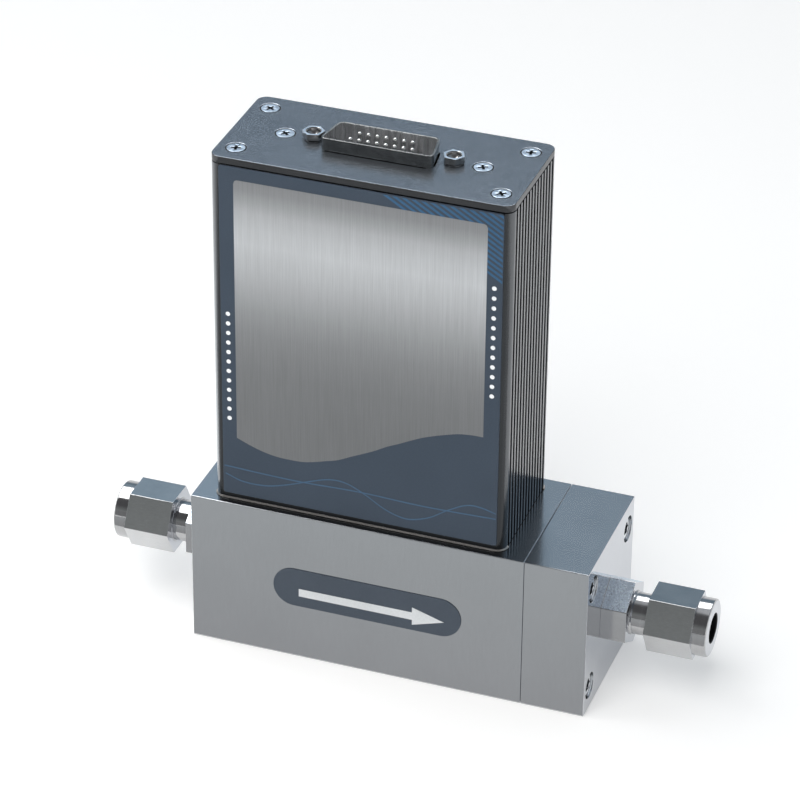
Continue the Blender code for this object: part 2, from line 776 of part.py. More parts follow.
def back_ferrule_profile():
    """Ring whose nose nests in the front ferrule and whose back meets the nut."""
    inner = TUBE_RADIUS + FERRULE_EASE
    shoulder = FRONT_FERRULE_END + SEAT_GAP
    return [
        (inner, BACK_FERRULE_START),
        (inner + FERRULE_EASE, BACK_FERRULE_START),
        (inner + FERRULE_NEST, shoulder),
        (FERRULE_RIM, shoulder),
        (FERRULE_RIM, BACK_FERRULE_END - FERRULE_NEST),
        (FERRULE_RIM - FERRULE_NEST, BACK_FERRULE_END),
        (inner, BACK_FERRULE_END),
    ]


def nut_profile():
    """Section of a nut: threaded mouth, ferrule chamber, shoulder and tube hole."""
    hex_start = NUT_START + NUT_RING_WIDTH
    hex_end = hex_start + NUT_HEX_LENGTH
    end = hex_end + NUT_COLLAR_LENGTH
    face = NUT_FLATS / 2 - SEAT_GAP
    stock = hex_stock(NUT_FLATS)
    run = chamfer_run(NUT_FLATS, face)
    thread = FITTING_THREAD_RADIUS + SEAT_GAP
    chamber = FERRULE_RIM + SEAT_GAP
    chamber_start = FITTING_LENGTH + SEAT_GAP
    chamber_end = BACK_FERRULE_END + SEAT_GAP
    return [
        (NECK_RADIUS + SEAT_GAP, NUT_START),
        (NUT_RING_RADIUS, NUT_START),
        (NUT_RING_RADIUS, hex_start),
        (face, hex_start),
        (stock, hex_start + run),
        (stock, hex_end - run),
        (face, hex_end),
        (NUT_COLLAR_RADIUS, hex_end),
        (NUT_COLLAR_RADIUS, end - COLLAR_CHAMFER),
        (NUT_COLLAR_RADIUS - COLLAR_CHAMFER, end),
        (TUBE_RADIUS + MOUTH_CHAMFER, end),
        (TUBE_RADIUS, end - MOUTH_CHAMFER),
        (TUBE_RADIUS, chamber_end),
        (chamber - FERRULE_NEST, chamber_end),
        (chamber, chamber_end - FERRULE_NEST),
        (chamber, chamber_start),
        (thread, chamber_start),
        (thread, hex_start + SEAT_GAP),
        (NECK_RADIUS + SEAT_GAP, hex_start),
    ]


def make_nut(name, side):
    location, rotation = fitting_place(side)
    piece = add_object(name, turned_solid(nut_profile(), ROUND_STEPS), location, rotation)
    low = NUT_START + NUT_RING_WIDTH
    high = low + NUT_HEX_LENGTH
    mill = hex_mill(NUT_FLATS, low - SEAT_GAP, high + SEAT_GAP, math.pi / 6)
    apply_cutter(piece, add_object("cut_" + name, mill, location, rotation))
    return finish(piece, STEEL)


def make_fitting_rings(prefix, side):
    """The two ferrules and the rubber ring of one fitting."""
    location, rotation = fitting_place(side)
    front = turned_solid(front_ferrule_profile(), RING_STEPS)
    finish(add_object(prefix + "_front_ferrule", front, location, rotation), STEEL)
    back = turned_solid(back_ferrule_profile(), RING_STEPS)
    finish(add_object(prefix + "_back_ferrule", back, location, rotation), STEEL)
    seal = turned_solid(ring_profile(PORT_SEAL_RADIUS, SEAL_SECTION, port_seal_height()), RING_STEPS)
    finish(add_object(prefix + "_seal", seal, location, rotation), RUBBER)


def make_fittings():
    for prefix, side in (("inlet", -1), ("outlet", 1)):
        make_fitting(prefix + "_fitting", side)
        make_nut(prefix + "_nut", side)
        make_fitting_rings(prefix, side)


def make_flow_restrictor():
    """Plug with slots along its rim, which splits the gas into even streams."""
    radius = MAIN_BORE_RADIUS - SEAT_GAP
    floor = radius - RESTRICTOR_SLOT_DEPTH
    half = RESTRICTOR_SLOT_WIDTH / 2
    rim_x = math.sqrt(radius * radius - half * half)
    outline = []
    for index in range(RESTRICTOR_SLOTS):
        turn = Matrix.Rotation(2 * math.pi * index / RESTRICTOR_SLOTS, 2)
        for corner in ((rim_x, -half), (floor, -half), (floor, half), (rim_x, half)):
            point = turn @ Vector(corner)
            outline.append((point.x, point.y))
    shape = section_solid([outline], -RESTRICTOR_LENGTH / 2, RESTRICTOR_LENGTH / 2)
    turn_to_x(shape)
    move(shape, (HOUSING_CENTRE_X, 0.0, FLOW_HEIGHT))
    return finish(add_object("flow_restrictor", shape), STEEL)


def make_sensor_base():
    low = (HOUSING_CENTRE_X - SENSOR_BASE_LENGTH / 2, -SENSOR_BASE_DEPTH / 2, SENSOR_BASE_LOW)
    high = (HOUSING_CENTRE_X + SENSOR_BASE_LENGTH / 2, SENSOR_BASE_DEPTH / 2, SENSOR_BASE_TOP)
    piece = add_object("sensor_base", box_solid(low, high, EDGE_BREAK))
    holes = []
    for x in sensor_port_places():
        hole = through_hole(SENSOR_TUBE_RADIUS + SEAT_GAP, SENSOR_BASE_LOW, SENSOR_BASE_TOP)
        holes.append(move(hole, (x, 0.0, 0.0)))
    for x in sensor_screw_places():
        hole = through_hole(CAP_SHANK_RADIUS + SEAT_GAP, SENSOR_BASE_LOW, SENSOR_BASE_TOP)
        holes.append(move(hole, (x, 0.0, 0.0)))
    apply_cutter(piece, add_object("cut_sensor_base", gather(holes)))
    return finish(piece, STEEL)


def sensor_tube_path():
    """Centre line of the capillary: up, round a bend, across and down again."""
    left, right = sensor_port_places()
    bend_height = SENSOR_TUBE_TOP - SENSOR_TUBE_BEND
    points = [(left, SENSOR_TUBE_LOW)]
    for step in range(CORNER_STEPS + 1):
        angle = math.pi - math.pi / 2 * step / CORNER_STEPS
        x = left + SENSOR_TUBE_BEND + SENSOR_TUBE_BEND * math.cos(angle)
        points.append((x, bend_height + SENSOR_TUBE_BEND * math.sin(angle)))
    for step in range(CORNER_STEPS + 1):
        angle = math.pi / 2 - math.pi / 2 * step / CORNER_STEPS
        x = right - SENSOR_TUBE_BEND + SENSOR_TUBE_BEND * math.cos(angle)
        points.append((x, bend_height + SENSOR_TUBE_BEND * math.sin(angle)))
    points.append((right, SENSOR_TUBE_LOW))
    return [Vector((x, 0.0, z)) for x, z in points]


def make_sensor_tube():
    """Hollow tube swept along its path, with the wall closed at both ends."""
    path = sensor_tube_path()
    shape = bmesh.new()
    rings = {SENSOR_TUBE_RADIUS: [], SENSOR_TUBE_BORE: []}
    for index, point in enumerate(path):
        before = path[max(index - 1, 0)]
        after = path[min(index + 1, len(path) - 1)]
        along = (after - before).normalized()
        across = Vector((0.0, 1.0, 0.0))
        normal = along.cross(across)
        for radius, stations in rings.items():
            ring = []
            for x, y in circle(radius, RING_SECTION_STEPS):
                ring.append(shape.verts.new(point + across * x + normal * y))
            stations.append(ring)
    for stations in rings.values():
        for first, second in zip(stations, stations[1:]):
            join_rings(shape, first, second)
    for end in (0, -1):
        join_rings(shape, rings[SENSOR_TUBE_RADIUS][end], rings[SENSOR_TUBE_BORE][end])
    return finish(add_object("sensor_tube", shape), STEEL)


def join_rings(shape, first, second):
    for index in range(len(first)):
        shape.faces.new((first[index - 1], first[index], second[index], second[index - 1]))


def make_sensor_winding():
    """Twin winding round the level run of the tube, with a waist between its halves."""
    inner = SENSOR_TUBE_RADIUS + SEAT_GAP
    outer = inner + WINDING_WALL
    waist = inner + WINDING_WALL / 2
    half = WINDING_LENGTH / 2
    profile = [
        (inner, -half),
        (outer, -half),
        (outer, -WINDING_WAIST / 2),
        (waist, -WINDING_WAIST / 2),
        (waist, WINDING_WAIST / 2),
        (outer, WINDING_WAIST / 2),
        (outer, half),
        (inner, half),
    ]
    shape = turn_to_x(turned_solid(profile, HOLE_STEPS))
    move(shape, (HOUSING_CENTRE_X, 0.0, SENSOR_TUBE_TOP))
    return finish(add_object("sensor_winding", shape), BRASS)


def make_sensor_cover():
    """Open-bottomed cap that stands on the sensor base round the tube."""
    inner_half = SENSOR_PORT_SPAN / 2 + SENSOR_TUBE_RADIUS + SENSOR_COVER_EASE
    inner_top = SENSOR_TUBE_TOP + SENSOR_TUBE_RADIUS + WINDING_WALL + 2 * SEAT_GAP
    half = inner_half + SENSOR_COVER_WALL
    top = inner_top + SENSOR_COVER_WALL
    low = SENSOR_BASE_TOP + SEAT_GAP
    depth = SENSOR_COVER_DEPTH / 2
    outside = box_solid(
        (HOUSING_CENTRE_X - half, -depth, low),
        (HOUSING_CENTRE_X + half, depth, top),
        EDGE_BREAK,
    )
    inside = box_solid(
        (HOUSING_CENTRE_X - inner_half, -depth + SENSOR_COVER_WALL, low - CUT_OVERRUN),
        (HOUSING_CENTRE_X + inner_half, depth - SENSOR_COVER_WALL, inner_top),
    )
    piece = add_object("sensor_cover", outside)
    apply_cutter(piece, add_object("cut_sensor_cover", inside))
    return finish(piece, SATIN_ALUMINIUM)


def make_sensor_fixings():
    """Rubber rings under the sensor base and the screws that hold it down."""
    for index, x in enumerate(sensor_port_places()):
        place = (x, 0.0, BLOCK_HEIGHT - SEAL_SECTION)
        seal = turned_solid(ring_profile(SENSOR_SEAL_RADIUS, SEAL_SECTION), HOLE_STEPS)
        finish(add_object(f"sensor_seal_{index + 1}", seal, place), RUBBER)
    for index, x in enumerate(sensor_screw_places()):
        place = (x, 0.0, SENSOR_BASE_TOP + SEAT_GAP)
        cap_screw(f"sensor_screw_{index + 1}", SENSOR_SCREW_LENGTH, place, (0.0, 0.0, 0.0))


def ribbed_outline():
    """Outside of the extruded housing, with grooves along both ends."""
    plain = rounded(rectangle(HOUSING_WIDTH, HOUSING_DEPTH), HOUSING_CORNER)
    edge = HOUSING_WIDTH / 2
    floor = edge - GROOVE_DEPTH
    half = GROOVE_WIDTH / 2
    right = []
    for index in range(GROOVE_COUNT):
        y = GROOVE_PITCH * (index - (GROOVE_COUNT - 1) / 2)
        right += [(edge, y - half), (floor, y - half), (floor, y + half), (edge, y + half)]
    left = [(-x, -y) for x, y in right]
    per_corner = CORNER_STEPS + 1
    corners = [plain[index * per_corner:(index + 1) * per_corner] for index in range(4)]
    outline = corners[0] + corners[1] + right + corners[2] + corners[3] + left
    return [(HOUSING_CENTRE_X + x, y) for x, y in outline]


def cavity_outline():
    """Inside of the housing, which bends round the screw channel in each corner."""
    half_x = HOUSING_WIDTH / 2 - HOUSING_END_WALL
    half_y = HOUSING_DEPTH / 2 - HOUSING_FRONT_WALL
    boss_x = LID_SCREW_HALF_X
    boss_y = LID_SCREW_HALF_Y
    reach_x = half_x - boss_x
    reach_y = half_y - boss_y
    radius = max(BOSS_RADIUS, reach_x, reach_y)
    first = math.atan2(reach_y, -math.sqrt(radius ** 2 - reach_y ** 2))
    last = math.atan2(-math.sqrt(radius ** 2 - reach_x ** 2), reach_x) + 2 * math.pi
    steps = 2 * CORNER_STEPS
    quarter = []
    for step in range(steps + 1):
        angle = last + (first - last) * step / steps
        quarter.append((boss_x + radius * math.cos(angle), boss_y + radius * math.sin(angle)))
    outline = []
    outline += quarter
    outline += [(-x, y) for x, y in reversed(quarter)]
    outline += [(-x, -y) for x, y in quarter]
    outline += [(x, -y) for x, y in reversed(quarter)]
    return [(HOUSING_CENTRE_X + x, y) for x, y in outline]


def make_housing():
    outlines = [ribbed_outline(), cavity_outline()]
    thread = max(LID_SHANK_RADIUS, CAP_SHANK_RADIUS) + SEAT_GAP
    for place in lid_corner_places():
        outlines.append(circle(thread, HOLE_STEPS, place))
    piece = add_object("housing", section_solid(outlines, HOUSING_LOW, HOUSING_TOP))
    return finish(piece, DARK_ANODISED)


def make_front_label():
    low = HOUSING_LOW + LABEL_LOW_MARGIN
    height = HOUSING_TOP - low
    outline = rounded(rectangle(LABEL_WIDTH, height), LABEL_CORNER, 3)
    shape = section_solid([outline], 0.0, LABEL_THICKNESS)
    place = (HOUSING_CENTRE_X, HOUSING_FRONT - GLUE_GAP, low + height / 2)
    return finish(add_object("front_label", shape, place, (math.pi / 2, 0.0, 0.0)), LABEL_BLUE_GREY)


def make_flow_badge():
    outline = rounded(rectangle(BADGE_LENGTH, BADGE_HEIGHT), BADGE_HEIGHT * 0.4999, 12)
    shape = section_solid([outline], 0.0, BADGE_THICKNESS)
    place = (BADGE_CENTRE_X, -BLOCK_DEPTH / 2 - GLUE_GAP, BADGE_CENTRE_Z)
    return finish(add_object("flow_badge", shape, place, (math.pi / 2, 0.0, 0.0)), BADGE_GREY)


def countersink_cut(places):
    """Screw holes with their cones, opening at the plate's top face."""
    shapes = []
    head = LID_HEAD_RADIUS + SEAT_GAP
    shank = LID_SHANK_RADIUS + SEAT_GAP
    rim = PLATE_TOP - LID_HEAD_RIM
    for x, y in places:
        profile = [
            (0.0, PLATE_TOP + CUT_OVERRUN),
            (head, PLATE_TOP + CUT_OVERRUN),
            (head, rim),
            (shank, rim - (head - shank)),
            (shank, PLATE_LOW - CUT_OVERRUN),
            (0.0, PLATE_LOW - CUT_OVERRUN),
        ]
        shapes.append(move(turned_solid(profile, SMALL_STEPS), (x, y, 0.0)))
    return gather(shapes)


def make_top_plate():
    corners = rectangle(HOUSING_WIDTH, HOUSING_DEPTH, (HOUSING_CENTRE_X, 0.0))
    outlines = [rounded(corners, HOUSING_CORNER), shell_outline(SEAT_GAP)]
    for place in jack_places():
        outlines.append(circle(JACK_SHANK_RADIUS + SEAT_GAP, HOLE_STEPS, place))
    piece = add_object("top_plate", section_solid(outlines, PLATE_LOW, PLATE_TOP))
    holes = countersink_cut(lid_corner_places() + mid_screw_places())
    apply_cutter(piece, add_object("cut_lid_screw_holes", holes))
    return finish(piece, PLATE_METAL)


def cross_recess(turn):
    """Tapered cross that a driver fits, its mouth at height zero."""
    shape = bmesh.new()
    rings = []
    for scale, height in ((1.0, CUT_OVERRUN), (1.0, 0.0), (CROSS_TAPER, -CROSS_DEPTH)):
        arm = CROSS_ARM * scale
        half = CROSS_WIDTH / 2 * (1 + scale) / 2
        ring = []
        for index in range(4):
            spin = Matrix.Rotation(math.pi / 2 * index + turn, 2)
            for corner in ((half, half), (half, arm), (-half, arm)):
                point = spin @ Vector(corner)
                ring.append(shape.verts.new((point.x, point.y, height)))
        rings.append(ring)
    join_rings(shape, rings[0], rings[1])
    join_rings(shape, rings[1], rings[2])
    shape.faces.new(rings[0])
    shape.faces.new(rings[2])
    return shape


def lid_screw(name, length, place, turn):
    """Countersunk screw with its head flush with the plate."""
    profile = [
        (0.0, 0.0),
        (LID_HEAD_RADIUS, 0.0),
        (LID_HEAD_RADIUS, -LID_HEAD_RIM),
        (LID_SHANK_RADIUS, -LID_HEAD_RIM - (LID_HEAD_RADIUS - LID_SHANK_RADIUS)),
        (LID_SHANK_RADIUS, -length),
        (0.0, -length),
    ]
    location = (place[0], place[1], PLATE_TOP)
    piece = add_object(name, turned_solid(profile, SMALL_STEPS), location)
    apply_cutter(piece, add_object("cut_" + name, cross_recess(turn), location))
    return finish(piece, SCREW_STEEL)


def make_lid_screws():
    turns = (12.0, 64.0, 35.0, 8.0, 50.0, 27.0)
    lengths = [LID_SCREW_LENGTH] * 4 + [MID_SCREW_LENGTH] * 2
    places = lid_corner_places() + mid_screw_places()
    for index, (place, length, turn) in enumerate(zip(places, lengths, turns)):
        lid_screw(f"lid_screw_{index + 1}", length, place, math.radians(turn))


def make_connector_shell():
    """Drawn D-shaped shell on its flange, which lies under the top plate."""
    corners = rectangle(FLANGE_WIDTH, FLANGE_DEPTH, (HOUSING_CENTRE_X, 0.0))
    outlines = [rounded(corners, FLANGE_CORNER, 3)]
    for place in jack_places():
        outlines.append(circle(JACK_SHANK_RADIUS + SEAT_GAP, HOLE_STEPS, place))
    piece = add_object("connector_shell", section_solid(outlines, FLANGE_LOW, FLANGE_TOP))
    rim = PLATE_TOP + SHELL_RISE
    middle = (FLANGE_LOW + FLANGE_TOP) / 2
    drawn = add_object("join_shell", section_solid([shell_outline(0.0)], middle, rim))
    apply_cutter(piece, drawn, 'UNION')
    inside = section_solid([shell_outline(-SHELL_WALL)], FLANGE_LOW - CUT_OVERRUN, rim + CUT_OVERRUN)
    apply_cutter(piece, add_object("cut_shell", inside))
    return finish(piece, SHELL_METAL)


def make_connector_insulator():
    """Pin carrier: its nose fills the shell, its wider back lies under the flange."""
    back_top = FLANGE_LOW - SEAT_GAP
    back = section_solid([shell_outline(INSULATOR_LIP)], INSULATOR_LOW, back_top)
    piece = add_object("connector_insulator", back)
    middle = (INSULATOR_LOW + back_top) / 2
    nose = section_solid([shell_outline(-SHELL_WALL - SEAT_GAP)], middle, INSULATOR_TOP)
    apply_cutter(piece, add_object("join_insulator_nose", nose), 'UNION')
    holes = []
    for x, y in pin_places():
        hole = through_hole(PIN_RADIUS + SEAT_GAP, INSULATOR_LOW, INSULATOR_TOP, PIN_STEPS)
        holes.append(move(hole, (x, y, 0.0)))
    apply_cutter(piece, add_object("cut_pin_holes", gather(holes)))
    return finish(piece, BLACK_PLASTIC)


def make_pins():
    """Round pins with domed tips, their tails on either side of the board."""
    low = BOARD_TOP - PIN_TAIL
    top = PLATE_TOP + PIN_RISE
    profile = [(0.0, top)]
    for degrees in (45.0, 0.0):
        angle = math.radians(degrees)
        profile.append((PIN_RADIUS * math.cos(angle), top - PIN_RADIUS * (1 - math.sin(angle))))
    profile += [(PIN_RADIUS, low), (0.0, low)]
    for index, (x, y) in enumerate(pin_places()):
        shape = turned_solid(profile, PIN_STEPS)
        finish(add_object(f"pin_{index + 1}", shape, (x, y, 0.0)), PIN_METAL)


def make_jack_screws():
    """Hexagonal posts with a threaded hole, through the plate and the shell's flange."""
    stock = hex_stock(JACK_FLATS)
    face = JACK_FLATS / 2
    run = chamfer_run(JACK_FLATS, face)
    height = JACK_HEIGHT + SEAT_GAP
    profile = [
        (0.0, height - JACK_HOLE_DEPTH),
        (JACK_HOLE_RADIUS, height - JACK_HOLE_DEPTH),
        (JACK_HOLE_RADIUS, height),
        (face, height),
        (stock, height - run),
        (stock, SEAT_GAP),
        (JACK_SHANK_RADIUS, SEAT_GAP),
        (JACK_SHANK_RADIUS, -JACK_SHANK_LENGTH),
        (0.0, -JACK_SHANK_LENGTH),
    ]
    for index, (place, turn) in enumerate(zip(jack_places(), (JACK_TURN_LEFT, JACK_TURN_RIGHT))):
        name = f"jack_screw_{index + 1}"
        location = (place[0], place[1], PLATE_TOP)
        piece = add_object(name, turned_solid(profile, SMALL_STEPS), location)
        mill = hex_mill(JACK_FLATS, 0.0, height + CUT_OVERRUN, turn)
        apply_cutter(piece, add_object("cut_" + name, mill, location))
        finish(piece, STEEL)


def make_circuit_board():
    low = (HOUSING_CENTRE_X - BOARD_WIDTH / 2, BOARD_Y - BOARD_THICKNESS / 2, BOARD_TOP - BOARD_HEIGHT)
    high = (HOUSING_CENTRE_X + BOARD_WIDTH / 2, BOARD_Y + BOARD_THICKNESS / 2, BOARD_TOP)
    return finish(add_object("circuit_board", box_solid(low, high)), BOARD_GREEN)


def make_board_brackets():
    """Angle brackets: a foot under the plate's middle screw, a leg down the board."""
    top = PLATE_LOW - SEAT_GAP
    foot_low = top - BRACKET_FOOT_THICKNESS
    leg_back = BOARD_Y - BOARD_THICKNESS / 2 - SEAT_GAP
    leg_front = leg_back - BRACKET_LEG_THICKNESS
    leg_low = BOARD_TOP - BRACKET_LEG_OVERLAP
    half_foot = BRACKET_FOOT_DEPTH / 2
    outline = [
        (-half_foot, top),
        (-half_foot, foot_low),
        (leg_front, foot_low),
        (leg_front, leg_low),
        (leg_back, leg_low),
        (leg_back, foot_low),
        (half_foot, foot_low),
        (half_foot, top),
    ]
    for index, (x, y) in enumerate(mid_screw_places()):
        shape = section_solid([outline], -BRACKET_WIDTH / 2, BRACKET_WIDTH / 2)
        stand = Matrix(((0.0, 0.0, 1.0), (1.0, 0.0, 0.0), (0.0, 1.0, 0.0)))
        bmesh.ops.rotate(shape, cent=(0.0, 0.0, 0.0), matrix=stand, verts=shape.verts[:])
        move(shape, (x, y, 0.0))
        name = f"board_bracket_{index + 1}"
        piece = add_object(name, shape)
        hole = move(through_hole(LID_SHANK_RADIUS + SEAT_GAP, foot_low, top), (x, y, 0.0))
        apply_cutter(piece, add_object("cut_" + name, hole))
        finish(piece, SATIN_ALUMINIUM)


def build_meter():
    clear_scene()
    make_flow_body()
    make_end_block()
    make_end_block_seal()
    make_end_screws()
    make_fittings()
    make_flow_restrictor()
    make_sensor_base()
    make_sensor_tube()
    make_sensor_winding()
    make_sensor_cover()
    make_sensor_fixings()
    make_housing()
    make_housing_screws()
    make_front_label()
    make_flow_badge()
    make_top_plate()
    make_lid_screws()
    make_connector_shell()
    make_connector_insulator()
    make_pins()
    make_jack_screws()
    make_circuit_board()
    make_board_brackets()


build_meter()
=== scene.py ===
# %% [markdown]
# # The looks of a gas mass flow meter
# The solids of this part come from its CAD source and stay as they are.
# This lesson gives them the surfaces of the real object: ground aluminium, turned steel,
# a dark ribbed extrusion, a printed label and a small plug with fifteen pins.
# Each piece is made at its place, so nothing has to be fitted afterwards. Sizes are written in
# millimetres, as on a drawing, and become metres where a shape is made.

# %% Load the fixed solids
import math
import bmesh
import bpy
from mathutils import Matrix, Vector


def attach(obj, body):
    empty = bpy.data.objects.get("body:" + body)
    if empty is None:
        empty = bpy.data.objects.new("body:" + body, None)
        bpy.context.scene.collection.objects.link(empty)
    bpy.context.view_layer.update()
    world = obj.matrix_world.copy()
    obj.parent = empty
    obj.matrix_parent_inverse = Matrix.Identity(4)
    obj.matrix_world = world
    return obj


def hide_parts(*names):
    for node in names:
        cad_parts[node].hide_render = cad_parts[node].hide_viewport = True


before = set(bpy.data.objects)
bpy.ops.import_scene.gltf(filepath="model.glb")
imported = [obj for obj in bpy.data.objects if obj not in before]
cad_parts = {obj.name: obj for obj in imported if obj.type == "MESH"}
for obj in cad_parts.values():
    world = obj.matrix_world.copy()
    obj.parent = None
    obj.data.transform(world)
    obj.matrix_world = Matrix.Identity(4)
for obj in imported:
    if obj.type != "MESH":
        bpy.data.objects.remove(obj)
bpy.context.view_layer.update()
scene = bpy.context.scene
MM = 0.001


# %% [markdown]
# ## The camera
# A long lens from some distance keeps the block's edges nearly parallel, as on the product picture.
# It could be placed by eye and nudged. Here the direction, distance and roll are numbers that
# were found from the positions of the block's corners, so the frame matches at once.

# %% Camera
AZIMUTH = math.radians(19.44)
ELEVATION = math.radians(30.87)
ROLL = math.radians(0.58)
TARGET = Vector((-0.003446, 0.0, 0.064666))
DISTANCE = 0.88949

back = Vector((math.sin(AZIMUTH) * math.cos(ELEVATION),
               -math.cos(AZIMUTH) * math.cos(ELEVATION),
               math.sin(ELEVATION)))
level_right = Vector((math.cos(AZIMUTH), math.sin(AZIMUTH), 0.0))
level_up = back.cross(level_right)
right = math.cos(ROLL) * level_right + math.sin(ROLL) * level_up
up = -math.sin(ROLL) * level_right + math.cos(ROLL) * level_up
facing = Matrix((right, up, back)).transposed().to_4x4()

lens = bpy.data.cameras.new("camera")
lens.lens = 173.16
lens.sensor_width = 36.0
lens.clip_start = 0.05
lens.clip_end = 30.0
camera = bpy.data.objects.new("camera", lens)
camera.matrix_world = Matrix.Translation(TARGET + DISTANCE * back) @ facing
scene.collection.objects.link(camera)
scene.camera = camera
scene.view_settings.view_transform = "Standard"
print("camera at", [round(value, 3) for value in camera.location])

# %% [markdown]
# ## A few helpers for nodes and meshes
# Node trees are long when every node takes five lines. One small function adds a node, sets its
# fields and fills its inputs with a value or a link. The mesh helpers do the same for pieces:
# a closed shape goes in, and a shaded object that rides on the body comes out.

# %% Helpers for nodes
def add(tree, kind, inputs=None, **settings):
    made = tree.nodes.new(kind)
    for field, value in settings.items():
        setattr(made, field, value)
    for socket, value in (inputs or {}).items():
        if isinstance(value, bpy.types.NodeSocket):
            tree.links.new(value, made.inputs[socket])
        else:
            made.inputs[socket].default_value = value
    return made


def maths(tree, operation, first, second=0.5):
    return add(tree, "ShaderNodeMath", {0: first, 1: second}, operation=operation).outputs[0]


def ranged(tree, value, start, end, low=0.0, high=1.0):
    """Turns a value that runs from start to end into one that runs from low to high."""
    return add(tree, "ShaderNodeMapRange", {"Value": value, "From Min": start, "From Max": end,
                                            "To Min": low, "To Max": high}).outputs[0]


def scaled(tree, colour, amount):
    made = add(tree, "ShaderNodeVectorMath", {0: colour, "Scale": amount}, operation="SCALE")
    return made.outputs[0]


def between(tree, factor, first, second, blend="MIX"):
    """Mixes two colours. The colour sockets of a Mix node are numbers 6 and 7."""
    return add(tree, "ShaderNodeMix", {0: factor, 6: first, 7: second}, data_type="RGBA",
               blend_type=blend).outputs[2]


def coordinates(tree):
    return add(tree, "ShaderNodeTexCoord").outputs["Object"]


print("node helpers ready")

# %% Helpers for meshes
def box_shape(low, high):
    """A closed box between two corners, in millimetres."""
    shape = bmesh.new()
    bmesh.ops.create_cube(shape, size=1.0)
    low, high = Vector(low) * MM, Vector(high) * MM
    bmesh.ops.scale(shape, vec=high - low, verts=shape.verts)
    bmesh.ops.translate(shape, vec=(low + high) / 2, verts=shape.verts)
    return shape


def turned_shape(profile, steps=72):
    """Spins a profile of (radius, height) points about Z, as a lathe does."""
    shape = bmesh.new()
    verts = [shape.verts.new((radius * MM, 0.0, height * MM)) for radius, height in profile]
    edges = [shape.edges.new(pair) for pair in zip(verts, verts[1:])]
    bmesh.ops.spin(shape, geom=verts + edges, cent=(0, 0, 0), axis=(0, 0, 1), dvec=(0, 0, 0),
                   angle=math.tau, steps=steps, use_merge=True, use_duplicate=False)
    bmesh.ops.remove_doubles(shape, verts=shape.verts, dist=1e-7)
    bmesh.ops.recalc_face_normals(shape, faces=shape.faces)
    return shape


def round_bar(radius, low, high, steps=48):
    return turned_shape([(0, low), (radius, low), (radius, high), (0, high)], steps)


def round_corners(shape, radius, steps):
    bmesh.ops.bevel(shape, geom=shape.verts[:], affect="VERTICES", offset=radius * MM,
                    segments=steps, profile=0.5, material=-1)


def raise_face(shape, height):
    """Turns a flat outline into a closed slab of that height in millimetres along Z."""
    made = bmesh.ops.extrude_face_region(shape, geom=shape.faces[:])
    verts = [part for part in made["geom"] if isinstance(part, bmesh.types.BMVert)]
    bmesh.ops.translate(shape, vec=(0, 0, height * MM), verts=verts)
    bmesh.ops.recalc_face_normals(shape, faces=shape.faces)
    return shape


def outline_shape(corners, radius, low, high, steps=8):
    """A slab whose outline has rounded corners, between two heights in millimetres."""
    shape = bmesh.new()
    shape.faces.new([shape.verts.new((x * MM, y * MM, low * MM)) for x, y in corners])
    round_corners(shape, radius, steps)
    return raise_face(shape, high - low)


def hex_shape(flats, low, high, turn=0.0, edge=0.12):
    """A hexagonal bar whose long edges are slightly broken."""
    shape = bmesh.new()
    bmesh.ops.create_circle(shape, cap_ends=True, segments=6, radius=flats / math.sqrt(3) * MM)
    bmesh.ops.rotate(shape, matrix=Matrix.Rotation(turn, 3, "Z"), verts=shape.verts)
    bmesh.ops.translate(shape, vec=(0, 0, low * MM), verts=shape.verts)
    round_corners(shape, edge, 2)
    return raise_face(shape, high - low)


def moved(shape, offset=(0, 0, 0), turn=None):
    """Turns a shape about the origin, then moves it by an offset in millimetres."""
    if turn is not None:
        bmesh.ops.rotate(shape, matrix=turn, verts=shape.verts)
    bmesh.ops.translate(shape, vec=Vector(offset) * MM, verts=shape.verts)
    return shape


def placed(name, shape, *materials):
    """Puts a shape into the scene as an object with its finishes."""
    mesh = bpy.data.meshes.new(name)
    shape.to_mesh(mesh)
    shape.free()
    for material in materials:
        mesh.materials.append(material)
    made = bpy.data.objects.new(name, mesh)
    scene.collection.objects.link(made)
    return made


print("mesh helpers ready")

# %% Helpers that join and cut shapes
def joined(*shapes):
    """Several closed shapes in one, without cutting them."""
    whole = bmesh.new()
    for shape in shapes:
        mesh = bpy.data.meshes.new("part")
        shape.to_mesh(mesh)
        shape.free()
        whole.from_mesh(mesh)
        bpy.data.meshes.remove(mesh)
    return whole


def combined(shape, tool, operation="DIFFERENCE"):
    """Cuts or joins two closed shapes exactly."""
    work, cutter = placed("work", shape), placed("tool", tool)
    step = work.modifiers.new("cut", "BOOLEAN")
    step.operation = operation
    step.solver = "EXACT"
    step.object = cutter
    seen = work.evaluated_get(bpy.context.evaluated_depsgraph_get())
    made = bpy.data.meshes.new_from_object(seen)
    result = bmesh.new()
    result.from_mesh(made)
    for part in (work, cutter):
        mesh = part.data
        bpy.data.objects.remove(part)
        bpy.data.meshes.remove(mesh)
    bpy.data.meshes.remove(made)
    return result


print("cutting helpers ready")

# %% Helper that finishes a piece
def piece(name, shape, materials, replaces=(), soft=0.0, angle=20.0, segments=3, choose=None):
    """Makes the object, gives it its finishes and lets it ride on the body."""
    if choose is not None:
        for face in shape.faces:
            face.material_index = choose(face)
    made = placed(name, shape, *materials)
    made.data.shade_smooth()
    if soft > 0.0:
        bevel = made.modifiers.new("softened edges", "BEVEL")
        bevel.width = soft * MM
        bevel.segments = segments
        bevel.limit_method = "ANGLE"
        bevel.angle_limit = math.radians(angle)
        bevel.use_clamp_overlap = True
        made.modifiers.new("even shading", "WEIGHTED_NORMAL").keep_sharp = True
    else:
        made.data.set_sharp_from_angle(angle=math.radians(angle))
    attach(made, "root")
    if replaces:
        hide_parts(*replaces)
    return made


